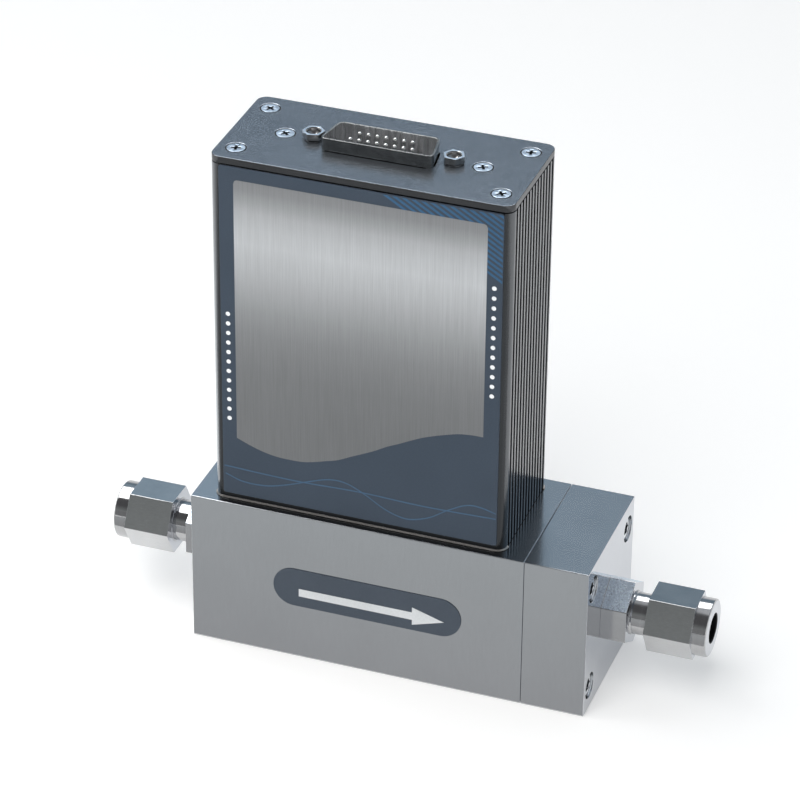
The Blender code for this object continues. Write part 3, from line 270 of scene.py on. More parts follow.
print("pieces ride on the body named root")

# %% [markdown]
# ## The floor
# A product picture stands on white paper. The paper could be lit until it is white, but then the
# metal would be too bright as well. So the lamps stay at a normal level, and the paper gives off
# a little light of its own to the camera, and a little less to the mirror faces of the metal.

# %% Floor
FLOOR_SIZE = 6.0
PAPER = (0.95, 0.94, 0.925, 1.0)
OWN_LIGHT = 2.1
SHARE_FOR_CAMERA = 0.15
SHARE_FOR_METAL = 0.08

floor_paint = bpy.data.materials.new("floor_paint")
floor_paint.use_nodes = True
floor_tree = floor_paint.node_tree
floor_look = floor_tree.nodes["Principled BSDF"]
floor_look.inputs["Base Color"].default_value = PAPER
floor_look.inputs["Roughness"].default_value = 0.9
floor_look.inputs["Specular IOR Level"].default_value = 0.0
path = add(floor_tree, "ShaderNodeLightPath")
by_camera = maths(floor_tree, "MULTIPLY", path.outputs["Is Camera Ray"], SHARE_FOR_CAMERA)
by_metal = maths(floor_tree, "MULTIPLY", path.outputs["Is Glossy Ray"], SHARE_FOR_METAL)
share = maths(floor_tree, "MAXIMUM", by_camera, by_metal)
glow = add(floor_tree, "ShaderNodeEmission", {"Color": (1.0, 1.0, 1.0, 1.0), "Strength": OWN_LIGHT})
paper = add(floor_tree, "ShaderNodeMixShader", {0: share, 1: floor_look.outputs[0], 2: glow.outputs[0]})
floor_tree.links.new(paper.outputs[0], floor_tree.nodes["Material Output"].inputs["Surface"])

floor_shape = bmesh.new()
bmesh.ops.create_grid(floor_shape, x_segments=1, y_segments=1, size=FLOOR_SIZE)
floor = placed("floor", floor_shape, floor_paint)
print("floor side in metres:", 2 * FLOOR_SIZE)

# %% [markdown]
# ## The room
# Metal shows its surroundings, so the room matters as much as the lamps. Its walls are white near
# the floor and turn grey higher up: blue grey behind, which gives the ground top faces their cool
# tone, and darker in front. One pale patch in the back wall shows in the block's top on the left.
# A colour ramp from the horizon to the ceiling for each side of the room is enough for all that.

# %% Room light
WHITE = (0.95, 0.96, 0.97, 1.0)
BACK_WALL = (0.205, 0.27, 0.33, 1.0)
FRONT_WALL = (0.26, 0.275, 0.275, 1.0)
FRONT_SHADE = (0.11, 0.11, 0.115, 1.0)
CEILING = (0.64, 0.66, 0.69, 1.0)
WHITE_END, WALL_START, SHADE_START, CEILING_START = 0.10, 0.34, 0.62, 0.985
FRONT_SHADE_END = 0.97
BACK_SHADE_END = 0.66
PALE_DIRECTION = (-0.40, 0.70, 0.59)
PALE_GAIN = 1.55

world = bpy.data.worlds.new("room")
scene.world = world
world.use_nodes = True
room = world.node_tree
direction = add(room, "ShaderNodeTexCoord").outputs["Generated"]
parts = add(room, "ShaderNodeSeparateXYZ", {"Vector": direction})


def room_side(wall, shade, shade_end):
    """Colours from the horizon up to the ceiling on one side of the room."""
    ramp = add(room, "ShaderNodeValToRGB", {"Fac": parts.outputs["Z"]})
    first, last = ramp.color_ramp.elements
    first.position = WHITE_END
    first.color = WHITE
    last.position = WALL_START
    last.color = wall
    for place, colour in ((SHADE_START, shade), (shade_end, shade), (CEILING_START, CEILING)):
        ramp.color_ramp.elements.new(place).color = colour
    return ramp.outputs["Color"]


to_the_back = ranged(room, parts.outputs["Y"], -0.3, 0.3)
front_side = room_side(FRONT_WALL, FRONT_SHADE, FRONT_SHADE_END)
back_side = room_side(BACK_WALL, BACK_WALL, BACK_SHADE_END)
room_colour = between(room, to_the_back, front_side, back_side)
towards_pale = add(room, "ShaderNodeVectorMath", {0: direction, 1: PALE_DIRECTION}, operation="DOT_PRODUCT")
pale = ranged(room, towards_pale.outputs["Value"], 0.980, 0.9955, 1.0, PALE_GAIN)
background = room.nodes["Background"]
room.links.new(scaled(room, room_colour, pale), background.inputs["Color"])
background.inputs["Strength"].default_value = 1.0
print("room colours: horizon, back wall, front wall and ceiling")

# %% [markdown]
# ## The lamps
# Three soft boxes stand around the object, each with one task. The one behind is seen only in
# reflections and makes the white bands on the turned collars. The one above gives the second band
# and some of the light on the floor. The one in front only lights the printed label and the floor,
# since its mirror image would be a spot on the block. A lamp's reach can be set for each kind of ray.

# %% Lamps
LAMP_DISTANCE = 1.1


def soft_lamp(name, lean, left, width, angle, brightness):
    """A soft lamp over the object. It leans back by some degrees and spans an angle from front to back."""
    depth = 2 * LAMP_DISTANCE * math.tan(math.radians(angle / 2))
    data = bpy.data.lights.new(name, "AREA")
    data.shape = "RECTANGLE"
    data.size = width
    data.size_y = depth
    data.energy = 4.0 * brightness * width * depth
    lamp = bpy.data.objects.new(name, data)
    rest = math.sqrt(1.0 - left ** 2)
    lean = math.radians(lean)
    way = Vector((-left, rest * math.sin(lean), rest * math.cos(lean)))
    lamp.location = TARGET + way * LAMP_DISTANCE
    lamp.rotation_euler = way.to_track_quat("Z", "Y").to_euler()
    scene.collection.objects.link(lamp)
    return lamp


back_lamp = soft_lamp("back_lamp", lean=28.5, left=0.286, width=1.1, angle=27.0, brightness=3.0)
top_lamp = soft_lamp("top_lamp", lean=-1.0, left=0.52, width=0.6, angle=26.0, brightness=3.0)
front_fill = soft_lamp("front_fill", lean=-35.0, left=0.05, width=0.8, angle=40.0, brightness=3.2)
back_lamp.visible_diffuse = False
front_fill.visible_glossy = False
print("lamps:", back_lamp.name, top_lamp.name, front_fill.name)

# %% [markdown]
# ## Cards for the reflections
# Photographers put grey cards round metal, so that a flat face shows one calm tone. The block's
# front mirrors the floor before it, which is far too white. A card on the floor that only
# reflections see turns that into a soft grey, a little lighter towards its far end. A second
# card, upright and far in front, does the same for the faces that look slightly upwards.

# %% Cards that only reflections see
CARD_START, CARD_END = -0.018, -0.08
CARD_NEAR = (0.435, 0.44, 0.45, 1.0)
CARD_FAR = (0.50, 0.52, 0.53, 1.0)
UPRIGHT_GREY = (0.25, 0.255, 0.26, 1.0)


def card(name, corners, near, far):
    """A card whose colour changes from near to far along the floor in front."""
    shape = bmesh.new()
    shape.faces.new([shape.verts.new(corner) for corner in corners])
    paint = bpy.data.materials.new(name + "_paint")
    paint.use_nodes = True
    tree = paint.node_tree
    tree.nodes.remove(tree.nodes["Principled BSDF"])
    spot = add(tree, "ShaderNodeSeparateXYZ", {0: coordinates(tree)})
    away = ranged(tree, spot.outputs["Y"], CARD_START, CARD_END)
    tone = between(tree, away, near, far)
    shine = add(tree, "ShaderNodeEmission", {"Color": tone, "Strength": 1.0})
    tree.links.new(shine.outputs[0], tree.nodes["Material Output"].inputs["Surface"])
    made = placed(name, shape, paint)
    made.visible_camera = False
    made.visible_diffuse = False
    made.visible_shadow = False
    return made


upright_corners = [(-1.2, -1.5, 0.01), (1.2, -1.5, 0.01), (1.2, -1.5, 0.55), (-1.2, -1.5, 0.55)]
front_card = card("front_card", upright_corners, UPRIGHT_GREY, UPRIGHT_GREY)

# The low card's back edge touches the block's front, and steps back where the fittings hang over.
CARD_LEFT, CARD_RIGHT, CARD_FRONT, CARD_BACK = -0.2, 0.22, -0.9, -0.0235
AT_BLOCK_LEFT, AT_BLOCK_RIGHT, AT_BLOCK = -0.053, 0.0488, -0.0182
CARD_HEIGHT = 0.0003
low_corners = [(CARD_LEFT, CARD_FRONT), (CARD_RIGHT, CARD_FRONT), (CARD_RIGHT, CARD_BACK),
               (AT_BLOCK_RIGHT, CARD_BACK), (AT_BLOCK_RIGHT, AT_BLOCK), (AT_BLOCK_LEFT, AT_BLOCK),
               (AT_BLOCK_LEFT, CARD_BACK), (CARD_LEFT, CARD_BACK)]
low_card = card("low_card", [(x, y, CARD_HEIGHT) for x, y in low_corners], CARD_NEAR, CARD_FAR)
print("cards:", front_card.name, low_card.name)

# %% [markdown]
# ## Effects that several finishes share
# Ground, drawn and turned metal all show fine marks in one direction. One node group makes them:
# it stretches noise along an axis by scaling the coordinates, and gives a fine and a broad pattern.
# A second group does the same in rings round the gas path, as a lathe leaves them. A third finds
# edges by comparing the true normal with a rounded one, because handling rubs a finish there
# first; the same mask also paints a highlight along the edges. Groups give masks only, and the shader stays in
# each material.

# %% Group: worked marks
def new_group(name, inputs, outputs):
    group = bpy.data.node_groups.new(name, "ShaderNodeTree")
    for label, kind, value in inputs:
        socket = group.interface.new_socket(label, in_out="INPUT", socket_type=kind)
        socket.default_value = value
    for label in outputs:
        group.interface.new_socket(label, in_out="OUTPUT", socket_type="NodeSocketFloat")
    return group, group.nodes.new("NodeGroupInput"), group.nodes.new("NodeGroupOutput")


marks, start, end = new_group(
    "worked_marks",
    [("Fineness", "NodeSocketVector", (1000.0, 1000.0, 1000.0)), ("Breadth", "NodeSocketFloat", 60.0)],
    ["Fine", "Broad"])
place = coordinates(marks)
stretched = add(marks, "ShaderNodeVectorMath", {0: place, 1: start.outputs["Fineness"]}, operation="MULTIPLY")
fine = add(marks, "ShaderNodeTexNoise",
           {"Vector": stretched.outputs[0], "Scale": 1.0, "Detail": 4.0, "Roughness": 0.65})
broad = add(marks, "ShaderNodeTexNoise",
            {"Vector": place, "Scale": start.outputs["Breadth"], "Detail": 3.0, "Roughness": 0.55})
marks.links.new(fine.outputs[0], end.inputs["Fine"])
marks.links.new(broad.outputs[0], end.inputs["Broad"])
print("group:", marks.name)

# %% Group: turned marks
FLOW_HEIGHT = 19.4

rings, start, end = new_group(
    "turned_marks",
    [("Centre Height", "NodeSocketFloat", FLOW_HEIGHT * MM), ("Fineness", "NodeSocketFloat", 4000.0)],
    ["Fine", "Broad"])
place = add(rings, "ShaderNodeSeparateXYZ", {0: coordinates(rings)})
lift = maths(rings, "SUBTRACT", place.outputs["Z"], start.outputs["Centre Height"])
squares = maths(rings, "ADD", maths(rings, "MULTIPLY", lift, lift),
                maths(rings, "MULTIPLY", place.outputs["Y"], place.outputs["Y"]))
turned = add(rings, "ShaderNodeCombineXYZ", {0: place.outputs["X"], 1: maths(rings, "SQRT", squares)})
fine = add(rings, "ShaderNodeTexNoise",
           {"Vector": turned.outputs[0], "Scale": start.outputs["Fineness"], "Detail": 3.0})
broad = add(rings, "ShaderNodeTexNoise", {"Vector": turned.outputs[0], "Scale": 500.0, "Detail": 2.0})
rings.links.new(fine.outputs[0], end.inputs["Fine"])
rings.links.new(broad.outputs[0], end.inputs["Broad"])
print("group:", rings.name)

# %% Group: rubbed edges with a painted highlight
edge_rub_and_sheen, start, end = new_group(
    "rubbed_and_highlit_edges",
    [("Width", "NodeSocketFloat", 0.0003), ("Unevenness", "NodeSocketFloat", 900.0)],
    ["Edge"])
rounded = add(edge_rub_and_sheen, "ShaderNodeBevel", {"Radius": start.outputs["Width"]}, samples=6).outputs[0]
true_normal = add(edge_rub_and_sheen, "ShaderNodeNewGeometry").outputs["True Normal"]
alike = add(edge_rub_and_sheen, "ShaderNodeVectorMath", {0: rounded, 1: true_normal}, operation="DOT_PRODUCT")
turning = ranged(edge_rub_and_sheen, alike.outputs["Value"], 1.0, 0.86)
spots = add(edge_rub_and_sheen, "ShaderNodeTexNoise",
            {"Vector": coordinates(edge_rub_and_sheen), "Scale": start.outputs["Unevenness"], "Detail": 3.0})
patchy = ranged(edge_rub_and_sheen, spots.outputs[0], 0.3, 0.65, 0.35, 1.0)
edge_rub_and_sheen.links.new(maths(edge_rub_and_sheen, "MULTIPLY", turning, patchy), end.inputs["Edge"])
print("group:", edge_rub_and_sheen.name)

# %% [markdown]
# ## One way to mix a finish
# Every finish here varies in the same four ways: fine marks change its colour a little, broad
# marks change how polished it is, edges are brighter from handling and a painted highlight, and the marks are
# also a shallow relief.
# The function below wires that up, so that each finish is one call with its own numbers.
# Values that don't vary, such as metallic, go straight on the shader's own sockets.

# %% Mixing a finish
MICRON = 0.000001
NOISE_LOW, NOISE_HIGH = 0.3, 0.7


def finish(name, colour, roughness, metallic=1.0, group=marks, fineness=(1000, 1000, 1000), breadth=60.0,
           streaks=0.2, patches=0.15, gloss=0.06, microns=10.0, edge=None, edge_amount=0.5,
           edge_width=0.3, level=0.5):
    """A procedural finish: colour and roughness with marks, edges lightened by handling and a painted
    highlight, and a relief in microns.
    """
    material = bpy.data.materials.new(name)
    material.use_nodes = True
    tree = material.node_tree
    shader = tree.nodes["Principled BSDF"]
    texture = add(tree, "ShaderNodeGroup", node_tree=group)
    texture.inputs["Fineness"].default_value = fineness
    if group is marks:
        texture.inputs["Breadth"].default_value = breadth
    fine_marks, broad_marks = texture.outputs["Fine"], texture.outputs["Broad"]
    dark = ranged(tree, fine_marks, NOISE_LOW, NOISE_HIGH, 1.0 - streaks, 1.0 + streaks)
    cloudy = ranged(tree, broad_marks, NOISE_LOW, NOISE_HIGH, 1.0 - patches, 1.0 + patches)
    tinted = scaled(tree, colour, maths(tree, "MULTIPLY", dark, cloudy))
    # Lighter edges: rubbed by handling, and a painted highlight.
    if edge is not None:
        rub_and_highlight = add(tree, "ShaderNodeGroup", node_tree=edge_rub_and_sheen)
        rub_and_highlight.inputs["Width"].default_value = edge_width * MM
        amount = maths(tree, "MULTIPLY", rub_and_highlight.outputs["Edge"], edge_amount)
        tinted = between(tree, amount, tinted, (*edge, 1.0))
    tree.links.new(tinted, shader.inputs["Base Color"])
    polish = ranged(tree, broad_marks, NOISE_LOW, NOISE_HIGH, roughness - gloss, roughness + gloss)
    tree.links.new(polish, shader.inputs["Roughness"])
    relief = add(tree, "ShaderNodeBump",
                 {"Height": fine_marks, "Strength": 1.0, "Distance": microns * MICRON})
    tree.links.new(relief.outputs[0], shader.inputs["Normal"])
    shader.inputs["Metallic"].default_value = metallic
    shader.inputs["Specular IOR Level"].default_value = level
    return material


print("finish() mixes marks, patches, edges and relief")

# %% [markdown]
# ## Metals of the block, fittings and screws
# The block is ground on every side. Its front is a touch duller than its top and ends, which are
# polished like a mirror and show the housing. Steel from the lathe has rings round its axis, while
# the flats of a hexagon are milled. The fittings' flats that look up get a lighter, bluish steel with a
# fine sparkle and white edges: a painted sheen for the light from above. Real numbers for
# metal colours lie between 0.5 and 0.9, and the rest of what one sees is reflection.

# %% Aluminium of the block
ground_front = finish(
    "ground_front", (0.60, 0.615, 0.63), 0.22, fineness=(3000, 3000, 350), breadth=45.0,
    streaks=0.018, patches=0.02, gloss=0.03, microns=0.6, edge=(0.9, 0.91, 0.93), edge_amount=0.15)
polished_block = finish(
    "polished_block", (0.63, 0.65, 0.68), 0.16, fineness=(500, 3000, 3000),
    streaks=0.03, patches=0.015, gloss=0.006, microns=1.0, edge=(0.92, 0.93, 0.95), edge_amount=0.15)
mirror_end = finish(
    "mirror_end", (0.63, 0.645, 0.68), 0.07, fineness=(3000, 3000, 500),
    streaks=0.02, patches=0.02, gloss=0.02, microns=0.5, edge=(0.92, 0.93, 0.95), edge_amount=0.15)
print("aluminium:", ground_front.name, polished_block.name, mirror_end.name)

# %% Steel of the fittings and screws
turned_steel = finish(
    "turned_steel", (0.50, 0.50, 0.505), 0.11, group=rings, fineness=5000.0,
    streaks=0.05, patches=0.06, gloss=0.03, microns=3.0, edge=(0.85, 0.86, 0.88), edge_amount=0.3)
bore_shade = finish(
    "bore_shade", (0.035, 0.035, 0.036), 0.5, group=rings, fineness=3000.0,
    streaks=0.2, patches=0.1, gloss=0.1, microns=6.0)
milled_steel = finish(
    "milled_steel", (0.62, 0.625, 0.63), 0.12, fineness=(900, 5000, 5000), breadth=90.0,
    streaks=0.05, patches=0.05, gloss=0.03, microns=3.0, edge=(0.85, 0.86, 0.88), edge_amount=0.45)
# Painted sheen: the fittings' flats that face up get this lighter, bluish steel with white edges.
sparkle_and_sheen_steel = finish(
    "sparkle_and_sheen_steel", (0.68, 0.77, 0.87), 0.26, fineness=(2600, 2600, 2600), breadth=300.0,
    streaks=0.36, patches=0.05, gloss=0.06, microns=20.0, edge=(1.0, 1.0, 1.0), edge_amount=1.0,
    edge_width=0.5)
screw_steel = finish(
    "screw_steel", (0.74, 0.76, 0.79), 0.09, fineness=(2500, 2500, 2500), breadth=200.0,
    streaks=0.06, patches=0.08, gloss=0.04, microns=4.0, edge=(0.9, 0.9, 0.92), edge_amount=0.4)
zinc = finish(
    "zinc_plating", (0.47, 0.56, 0.66), 0.32, fineness=(4000, 4000, 4000), breadth=260.0,
    streaks=0.06, patches=0.06, gloss=0.05, microns=4.0, edge=(0.95, 0.97, 1.0), edge_amount=0.4)
recess_shade = finish(
    "recess_shade", (0.07, 0.08, 0.09), 0.45, fineness=(3000, 3000, 3000), breadth=260.0,
    streaks=0.15, patches=0.1, gloss=0.08, microns=6.0)
jack_steel = finish(
    "jack_steel", (0.50, 0.49, 0.48), 0.14, fineness=(3000, 3000, 900), breadth=240.0,
    streaks=0.08, patches=0.1, gloss=0.05, microns=4.0, edge=(0.9, 0.9, 0.9), edge_amount=0.6,
    edge_width=0.25)
print("steel:", turned_steel.name, milled_steel.name, sparkle_and_sheen_steel.name, screw_steel.name)

# %% [markdown]
# ## Housing, plate and plug metals
# The housing is a dark anodised extrusion, so its marks run the long way. The plate on top is
# blasted before it is anodised and has a fine even speckle. Anodised layers still look metallic,
# only darker, so metallic stays high and the base colour goes down.

# %% Anodised metals
ALONG_THE_HOUSING = (2600, 2600, 45)

dark_anodised = finish(
    "dark_anodised", (0.09, 0.093, 0.097), 0.20, fineness=ALONG_THE_HOUSING, breadth=40.0,
    streaks=0.06, patches=0.05, gloss=0.04, microns=1.0, edge=(0.40, 0.40, 0.41), edge_amount=0.3)
blasted_plate = finish(
    "blasted_plate", (0.31, 0.34, 0.38), 0.22, metallic=0.95, fineness=(3600, 3600, 3600), breadth=90.0,
    streaks=0.42, patches=0.015, gloss=0.008, microns=10.0, edge=(0.6, 0.63, 0.66), edge_amount=0.5)
plate_edge = finish(
    "plate_edge", (0.095, 0.096, 0.10), 0.22, fineness=(500, 500, 5000), breadth=90.0,
    streaks=0.10, patches=0.06, gloss=0.04, microns=5.0, edge=(0.6, 0.6, 0.62), edge_amount=0.3)
# Painted light: the ribs' end faces get a lighter copy of the housing's anodised colour.
lit_rib_face = finish(
    "lit_rib_face", (0.21, 0.215, 0.225), 0.16, fineness=ALONG_THE_HOUSING, breadth=40.0,
    streaks=0.05, patches=0.05, gloss=0.03, microns=1.0)
groove_shade = finish(
    "groove_shade", (0.035, 0.036, 0.038), 0.3, fineness=ALONG_THE_HOUSING,
    streaks=0.10, patches=0.05, gloss=0.04, microns=2.0)
# Painted highlight: the slope at the housing's foot gets this light warm colour.
painted_highlight_rim = finish(
    "painted_highlight_rim", (0.46, 0.44, 0.42), 0.25, metallic=0.85, fineness=(300, 300, 3000), breadth=90.0,
    streaks=0.06, patches=0.05, gloss=0.03, microns=1.0)
print("anodised:", dark_anodised.name, blasted_plate.name, lit_rib_face.name)

# %% Plated metals and bracket aluminium
shell_metal = finish(
    "shell_plating", (0.36, 0.36, 0.35), 0.16, fineness=(1800, 1800, 400), breadth=260.0,
    streaks=0.08, patches=0.10, gloss=0.05, microns=2.0, edge=(0.9, 0.9, 0.9), edge_amount=0.75,
    edge_width=0.2)
# Painted light: the shell's inside gets a brighter copy of the plating, with streaks along the drawing.
shell_inside_lit = finish(
    "shell_inside_lit", (0.66, 0.67, 0.68), 0.22, metallic=0.85, fineness=(1100, 1100, 40),
    streaks=0.35, patches=0.10, gloss=0.05, microns=10.0)
pin_plating = finish(
    "pin_plating", (0.88, 0.875, 0.86), 0.15, fineness=(4000, 4000, 4000), breadth=500.0,
    streaks=0.04, patches=0.05, gloss=0.04, microns=2.0)
bracket_metal = finish(
    "bracket_aluminium", (0.62, 0.63, 0.65), 0.3, fineness=(300, 3000, 3000), breadth=200.0,
    streaks=0.12, patches=0.08, gloss=0.06, microns=10.0, edge=(0.85, 0.86, 0.88))
print("plated:", shell_metal.name, shell_inside_lit.name, pin_plating.name)

# %% [markdown]
# ## A painted sheen on the front corners
# The two front corners of the real housing look lighter than its faces, the left one most of all and
# more so towards its foot, as they catch more reflected light. Here that light is painted into the
# colour. It could be a separate strip with its own finish, but the change is gradual. So the finish
# is made brighter by how far the surface has turned towards an end.

# %% Painted corner sheen
SHEEN_LEFT, SHEEN_RIGHT = 3.8, 1.9
SHEEN_FOOT_GAIN = 2.2


def paint_corner_sheen(material):
    """Brightens a finish where the front turns towards the ends: a painted sheen."""
    tree = material.node_tree
    colour = tree.nodes["Principled BSDF"].inputs["Base Color"]
    normal = add(tree, "ShaderNodeSeparateXYZ", {0: add(tree, "ShaderNodeNewGeometry").outputs["Normal"]})
    spot = add(tree, "ShaderNodeSeparateXYZ", {0: coordinates(tree)})
    left_gain = ranged(tree, spot.outputs["Z"], 0.120, 0.045, SHEEN_LEFT, SHEEN_FOOT_GAIN * SHEEN_LEFT)
    in_front = ranged(tree, spot.outputs["Y"], 0.0, -0.013)
    sideways = maths(tree, "MULTIPLY", normal.outputs["X"], in_front)
    left = ranged(tree, sideways, -0.3, -0.92, 1.0, left_gain)
    right = ranged(tree, sideways, 0.5, 0.95, 1.0, SHEEN_RIGHT)
    lighter = scaled(tree, colour.links[0].from_socket, maths(tree, "MULTIPLY", left, right))
    tree.links.new(lighter, colour)


# The housing's front corners get a painted sheen.
paint_corner_sheen(dark_anodised)
print("painted corner sheen on", dark_anodised.name)

# %% [markdown]
# ## Printed films
# The label is a printed film with a satin face. Its middle is real brushed metal that the print
# leaves open, with streaks that run up and down. The inks have a little mottle, as screen print has.
# The brushed field also shows the room as a light band across its upper part. A camera would see
# that change with the view, but here it is a painted reflection in the finish, as a grey that follows the
# height.

# %% Films and inks
def film(name, colour):
    return finish(name, colour, 0.36, metallic=0.0, fineness=(2200, 2200, 2200), breadth=35.0,
                  streaks=0.05, patches=0.07, gloss=0.05, microns=3.0, level=0.35)


label_film = film("label_film", (0.047, 0.066, 0.094))
blue_ink = film("blue_ink", (0.037, 0.115, 0.225))
line_ink = film("line_ink", (0.058, 0.120, 0.205))
white_ink = film("white_ink", (0.92, 0.93, 0.94))
badge_film = film("badge_film", (0.066, 0.083, 0.108))
arrow_ink = film("arrow_ink", (0.70, 0.72, 0.73))
brushed_panel = finish(
    "brushed_panel", (0.705, 0.72, 0.735), 0.36, metallic=0.3, fineness=(5200, 5200, 80), breadth=22.0,
    streaks=0.09, patches=0.03, gloss=0.05, microns=3.0)
print("films:", label_film.name, badge_film.name, "and", brushed_panel.name)

# %% A painted reflection that changes with height
def shade_by_height(material, steps):
    """Multiplies a finish by a grey that changes with height, a painted reflection. Steps are pairs of
    millimetres and grey.
    """
    tree = material.node_tree
    colour = tree.nodes["Principled BSDF"].inputs["Base Color"]
    spot = add(tree, "ShaderNodeSeparateXYZ", {0: coordinates(tree)})
    low, high = steps[0][0], steps[-1][0]
    ramp = add(tree, "ShaderNodeValToRGB", {"Fac": ranged(tree, spot.outputs["Z"], low * MM, high * MM)})
    first, last = ramp.color_ramp.elements
    first.color = (*[steps[0][1]] * 3, 1.0)
    last.color = (*[steps[-1][1]] * 3, 1.0)
    for height, grey in steps[1:-1]:
        ramp.color_ramp.elements.new((height - low) / (high - low)).color = (grey, grey, grey, 1.0)
    bare = colour.links[0].from_socket
    tree.links.new(between(tree, 1.0, bare, ramp.outputs["Color"], "MULTIPLY"), colour)


shade_by_height(brushed_panel, [(52, 0.29), (65, 0.29), (75, 0.31), (80, 0.337), (85, 0.38), (91, 0.474),
                                (97, 0.613), (102, 0.74), (108, 0.854), (112, 0.805), (116, 0.69),
                                (119, 0.52), (121.5, 0.41), (124, 0.37)])
print("the brushed field is brightest at 108 mm")

# %% [markdown]
# ## Plastic, rubber, board and winding
# Most of these sit inside, where only a cut model shows them. Plastic, rubber and board have no
# metal gloss, so metallic is 0 and the base colour is what one sees. The winding is copper wire
# laid turn by turn, so its marks are narrow along the tube and long across it.

# %% Plain materials
black_plastic = finish(
    "black_plastic", (0.09, 0.09, 0.095), 0.42, metallic=0.0, fineness=(2500, 2500, 2500),
    streaks=0.15, patches=0.15, gloss=0.08, microns=20.0, edge=(0.12, 0.12, 0.12), edge_amount=0.3)
seal_rubber = finish(
    "seal_rubber", (0.022, 0.022, 0.023), 0.62, metallic=0.0, fineness=(1800, 1800, 1800),
    streaks=0.25, patches=0.2, gloss=0.1, microns=30.0)
board_green = finish(
    "board_green", (0.025, 0.13, 0.055), 0.38, metallic=0.0, fineness=(900, 900, 900),
    streaks=0.25, patches=0.15, gloss=0.08, microns=20.0, edge=(0.45, 0.40, 0.22), edge_amount=0.6)
copper_winding = finish(
    "copper_winding", (0.55, 0.24, 0.10), 0.3, fineness=(9000, 60, 60), breadth=200.0,
    streaks=0.4, patches=0.1, gloss=0.06, microns=50.0)
sensor_steel = finish(
    "sensor_steel", (0.58, 0.585, 0.59), 0.22, fineness=(600, 3000, 3000), breadth=150.0,
    streaks=0.10, patches=0.08, gloss=0.05, microns=10.0, edge=(0.85, 0.86, 0.88))
print("finishes in all:", len(bpy.data.materials))

# %% [markdown]
# ## The block and its end piece
# A plain box with broken edges is what a mill makes of aluminium bar. It could be drawn face by
# face, but a cube scaled to size, cut by turned shapes for the screw holes and softened by a bevel
# is quicker and exact. The two pieces meet in a fine seam that shows as a grey line.

# %% Block pieces
FRONT, SIDE, BOTTOM, TOP = -18.1, 18.1, 0.0, 39.3
END_FACE = 48.8
SEAM, HALF_GAP = 33.35, 0.03
HEAD_HOLE, HEAD_SEAT = 3.2, 3.3
MOUNT_HOLE, MOUNT_DEPTH = 1.65, 7.0
block_metals = [ground_front, polished_block, mirror_end]


def block_finish(face):
    """Ground in front, polished on top, and like a mirror at the ends."""
    if abs(face.normal.x) > 0.7:
        return 2
    return 1 if abs(face.normal.z) > 0.7 else 0


def drills(spots, turn, depth, radius):
    """Round cutters at several places, each from its depth to just outside the face."""
    return joined(*[moved(round_bar(radius, -depth, 1.0), spot, turn) for spot in spots])


upside_down = Matrix.Rotation(math.pi, 3, "X")
to_right = Matrix.Rotation(math.pi / 2, 3, "Y")
to_left = Matrix.Rotation(-math.pi / 2, 3, "Y")
housing_screw_spots = [(-39.15, -10.5, BOTTOM), (23.25, 10.5, BOTTOM)]
mount_spots = [(-25.0, 0.0, BOTTOM), (25.0, 0.0, BOTTOM)]
end_screw_spots = [(END_FACE, y, z) for y in (-13.6, 13.6) for z in (6.0, 32.8)]

body = box_shape((-END_FACE, FRONT, BOTTOM), (SEAM - HALF_GAP, SIDE, TOP))
body = combined(body, drills(housing_screw_spots, upside_down, HEAD_SEAT, HEAD_HOLE))
body = combined(body, drills(mount_spots, upside_down, MOUNT_DEPTH, MOUNT_HOLE))
piece("block_body", body, block_metals, ("flow_body",), soft=0.2, choose=block_finish)

end = box_shape((SEAM + HALF_GAP, FRONT, BOTTOM), (END_FACE, SIDE, TOP))
end = combined(end, drills(end_screw_spots, to_right, HEAD_SEAT, HEAD_HOLE))
piece("block_end", end, block_metals, ("end_block",), soft=0.2, choose=block_finish)
print("block: seam at", SEAM, "mm,", len(end_screw_spots), "screw holes in the end")

# %% [markdown]
# ## Socket cap screws
# A cap screw is turned from bar: a straight head with a rounded rim, a smaller shank, and a
# hexagon pressed in for the key. One profile is spun, and a hexagonal bar cuts the socket.
# Four hold the end piece and two hold the housing from below, sunk in the block's underside.

# %% Cap screws
HEAD_RADIUS, HEAD_HEIGHT = 2.75, 3.0
SHANK_RADIUS = 1.5
SOCKET_FLATS, SOCKET_DEPTH = 2.9, 1.8
END_SHANK, END_SUNK = 18.0, 0.5
HOUSING_SHANK, HOUSING_SUNK = 42.3, 0.3


def cap_screw(length):
    """A cap screw along Z with the top of its head at height 0."""
    tip = -HEAD_HEIGHT - length
    profile = [(0, tip), (SHANK_RADIUS - 0.25, tip), (SHANK_RADIUS, tip + 0.3), (SHANK_RADIUS, -HEAD_HEIGHT),
               (HEAD_RADIUS - 0.1, -HEAD_HEIGHT), (HEAD_RADIUS, -HEAD_HEIGHT + 0.15), (HEAD_RADIUS, -0.35),
               (HEAD_RADIUS - 0.35, 0.0), (1.62, 0.0), (1.45, -0.12), (0, -0.12)]
    return combined(turned_shape(profile, 64), hex_shape(SOCKET_FLATS, -SOCKET_DEPTH, 0.5))


def put_cap_screws(kind, spots, turn, length, sunk):
    """Cap screws of one length at several places, each sunk by an offset in millimetres."""
    for number, spot in enumerate(spots, 1):
        shape = moved(cap_screw(length), Vector(spot) + Vector(sunk), turn)
        piece(f"{kind}_cap_screw_{number}", shape, [screw_steel], (f"{kind}_screw_{number}",),
              soft=0.08, angle=25)


put_cap_screws("end", end_screw_spots, to_right, END_SHANK, (-END_SUNK, 0, 0))
put_cap_screws("housing", housing_screw_spots, upside_down, HOUSING_SHANK, (0, 0, HOUSING_SUNK))
print("cap screws:", len(end_screw_spots) + len(housing_screw_spots))

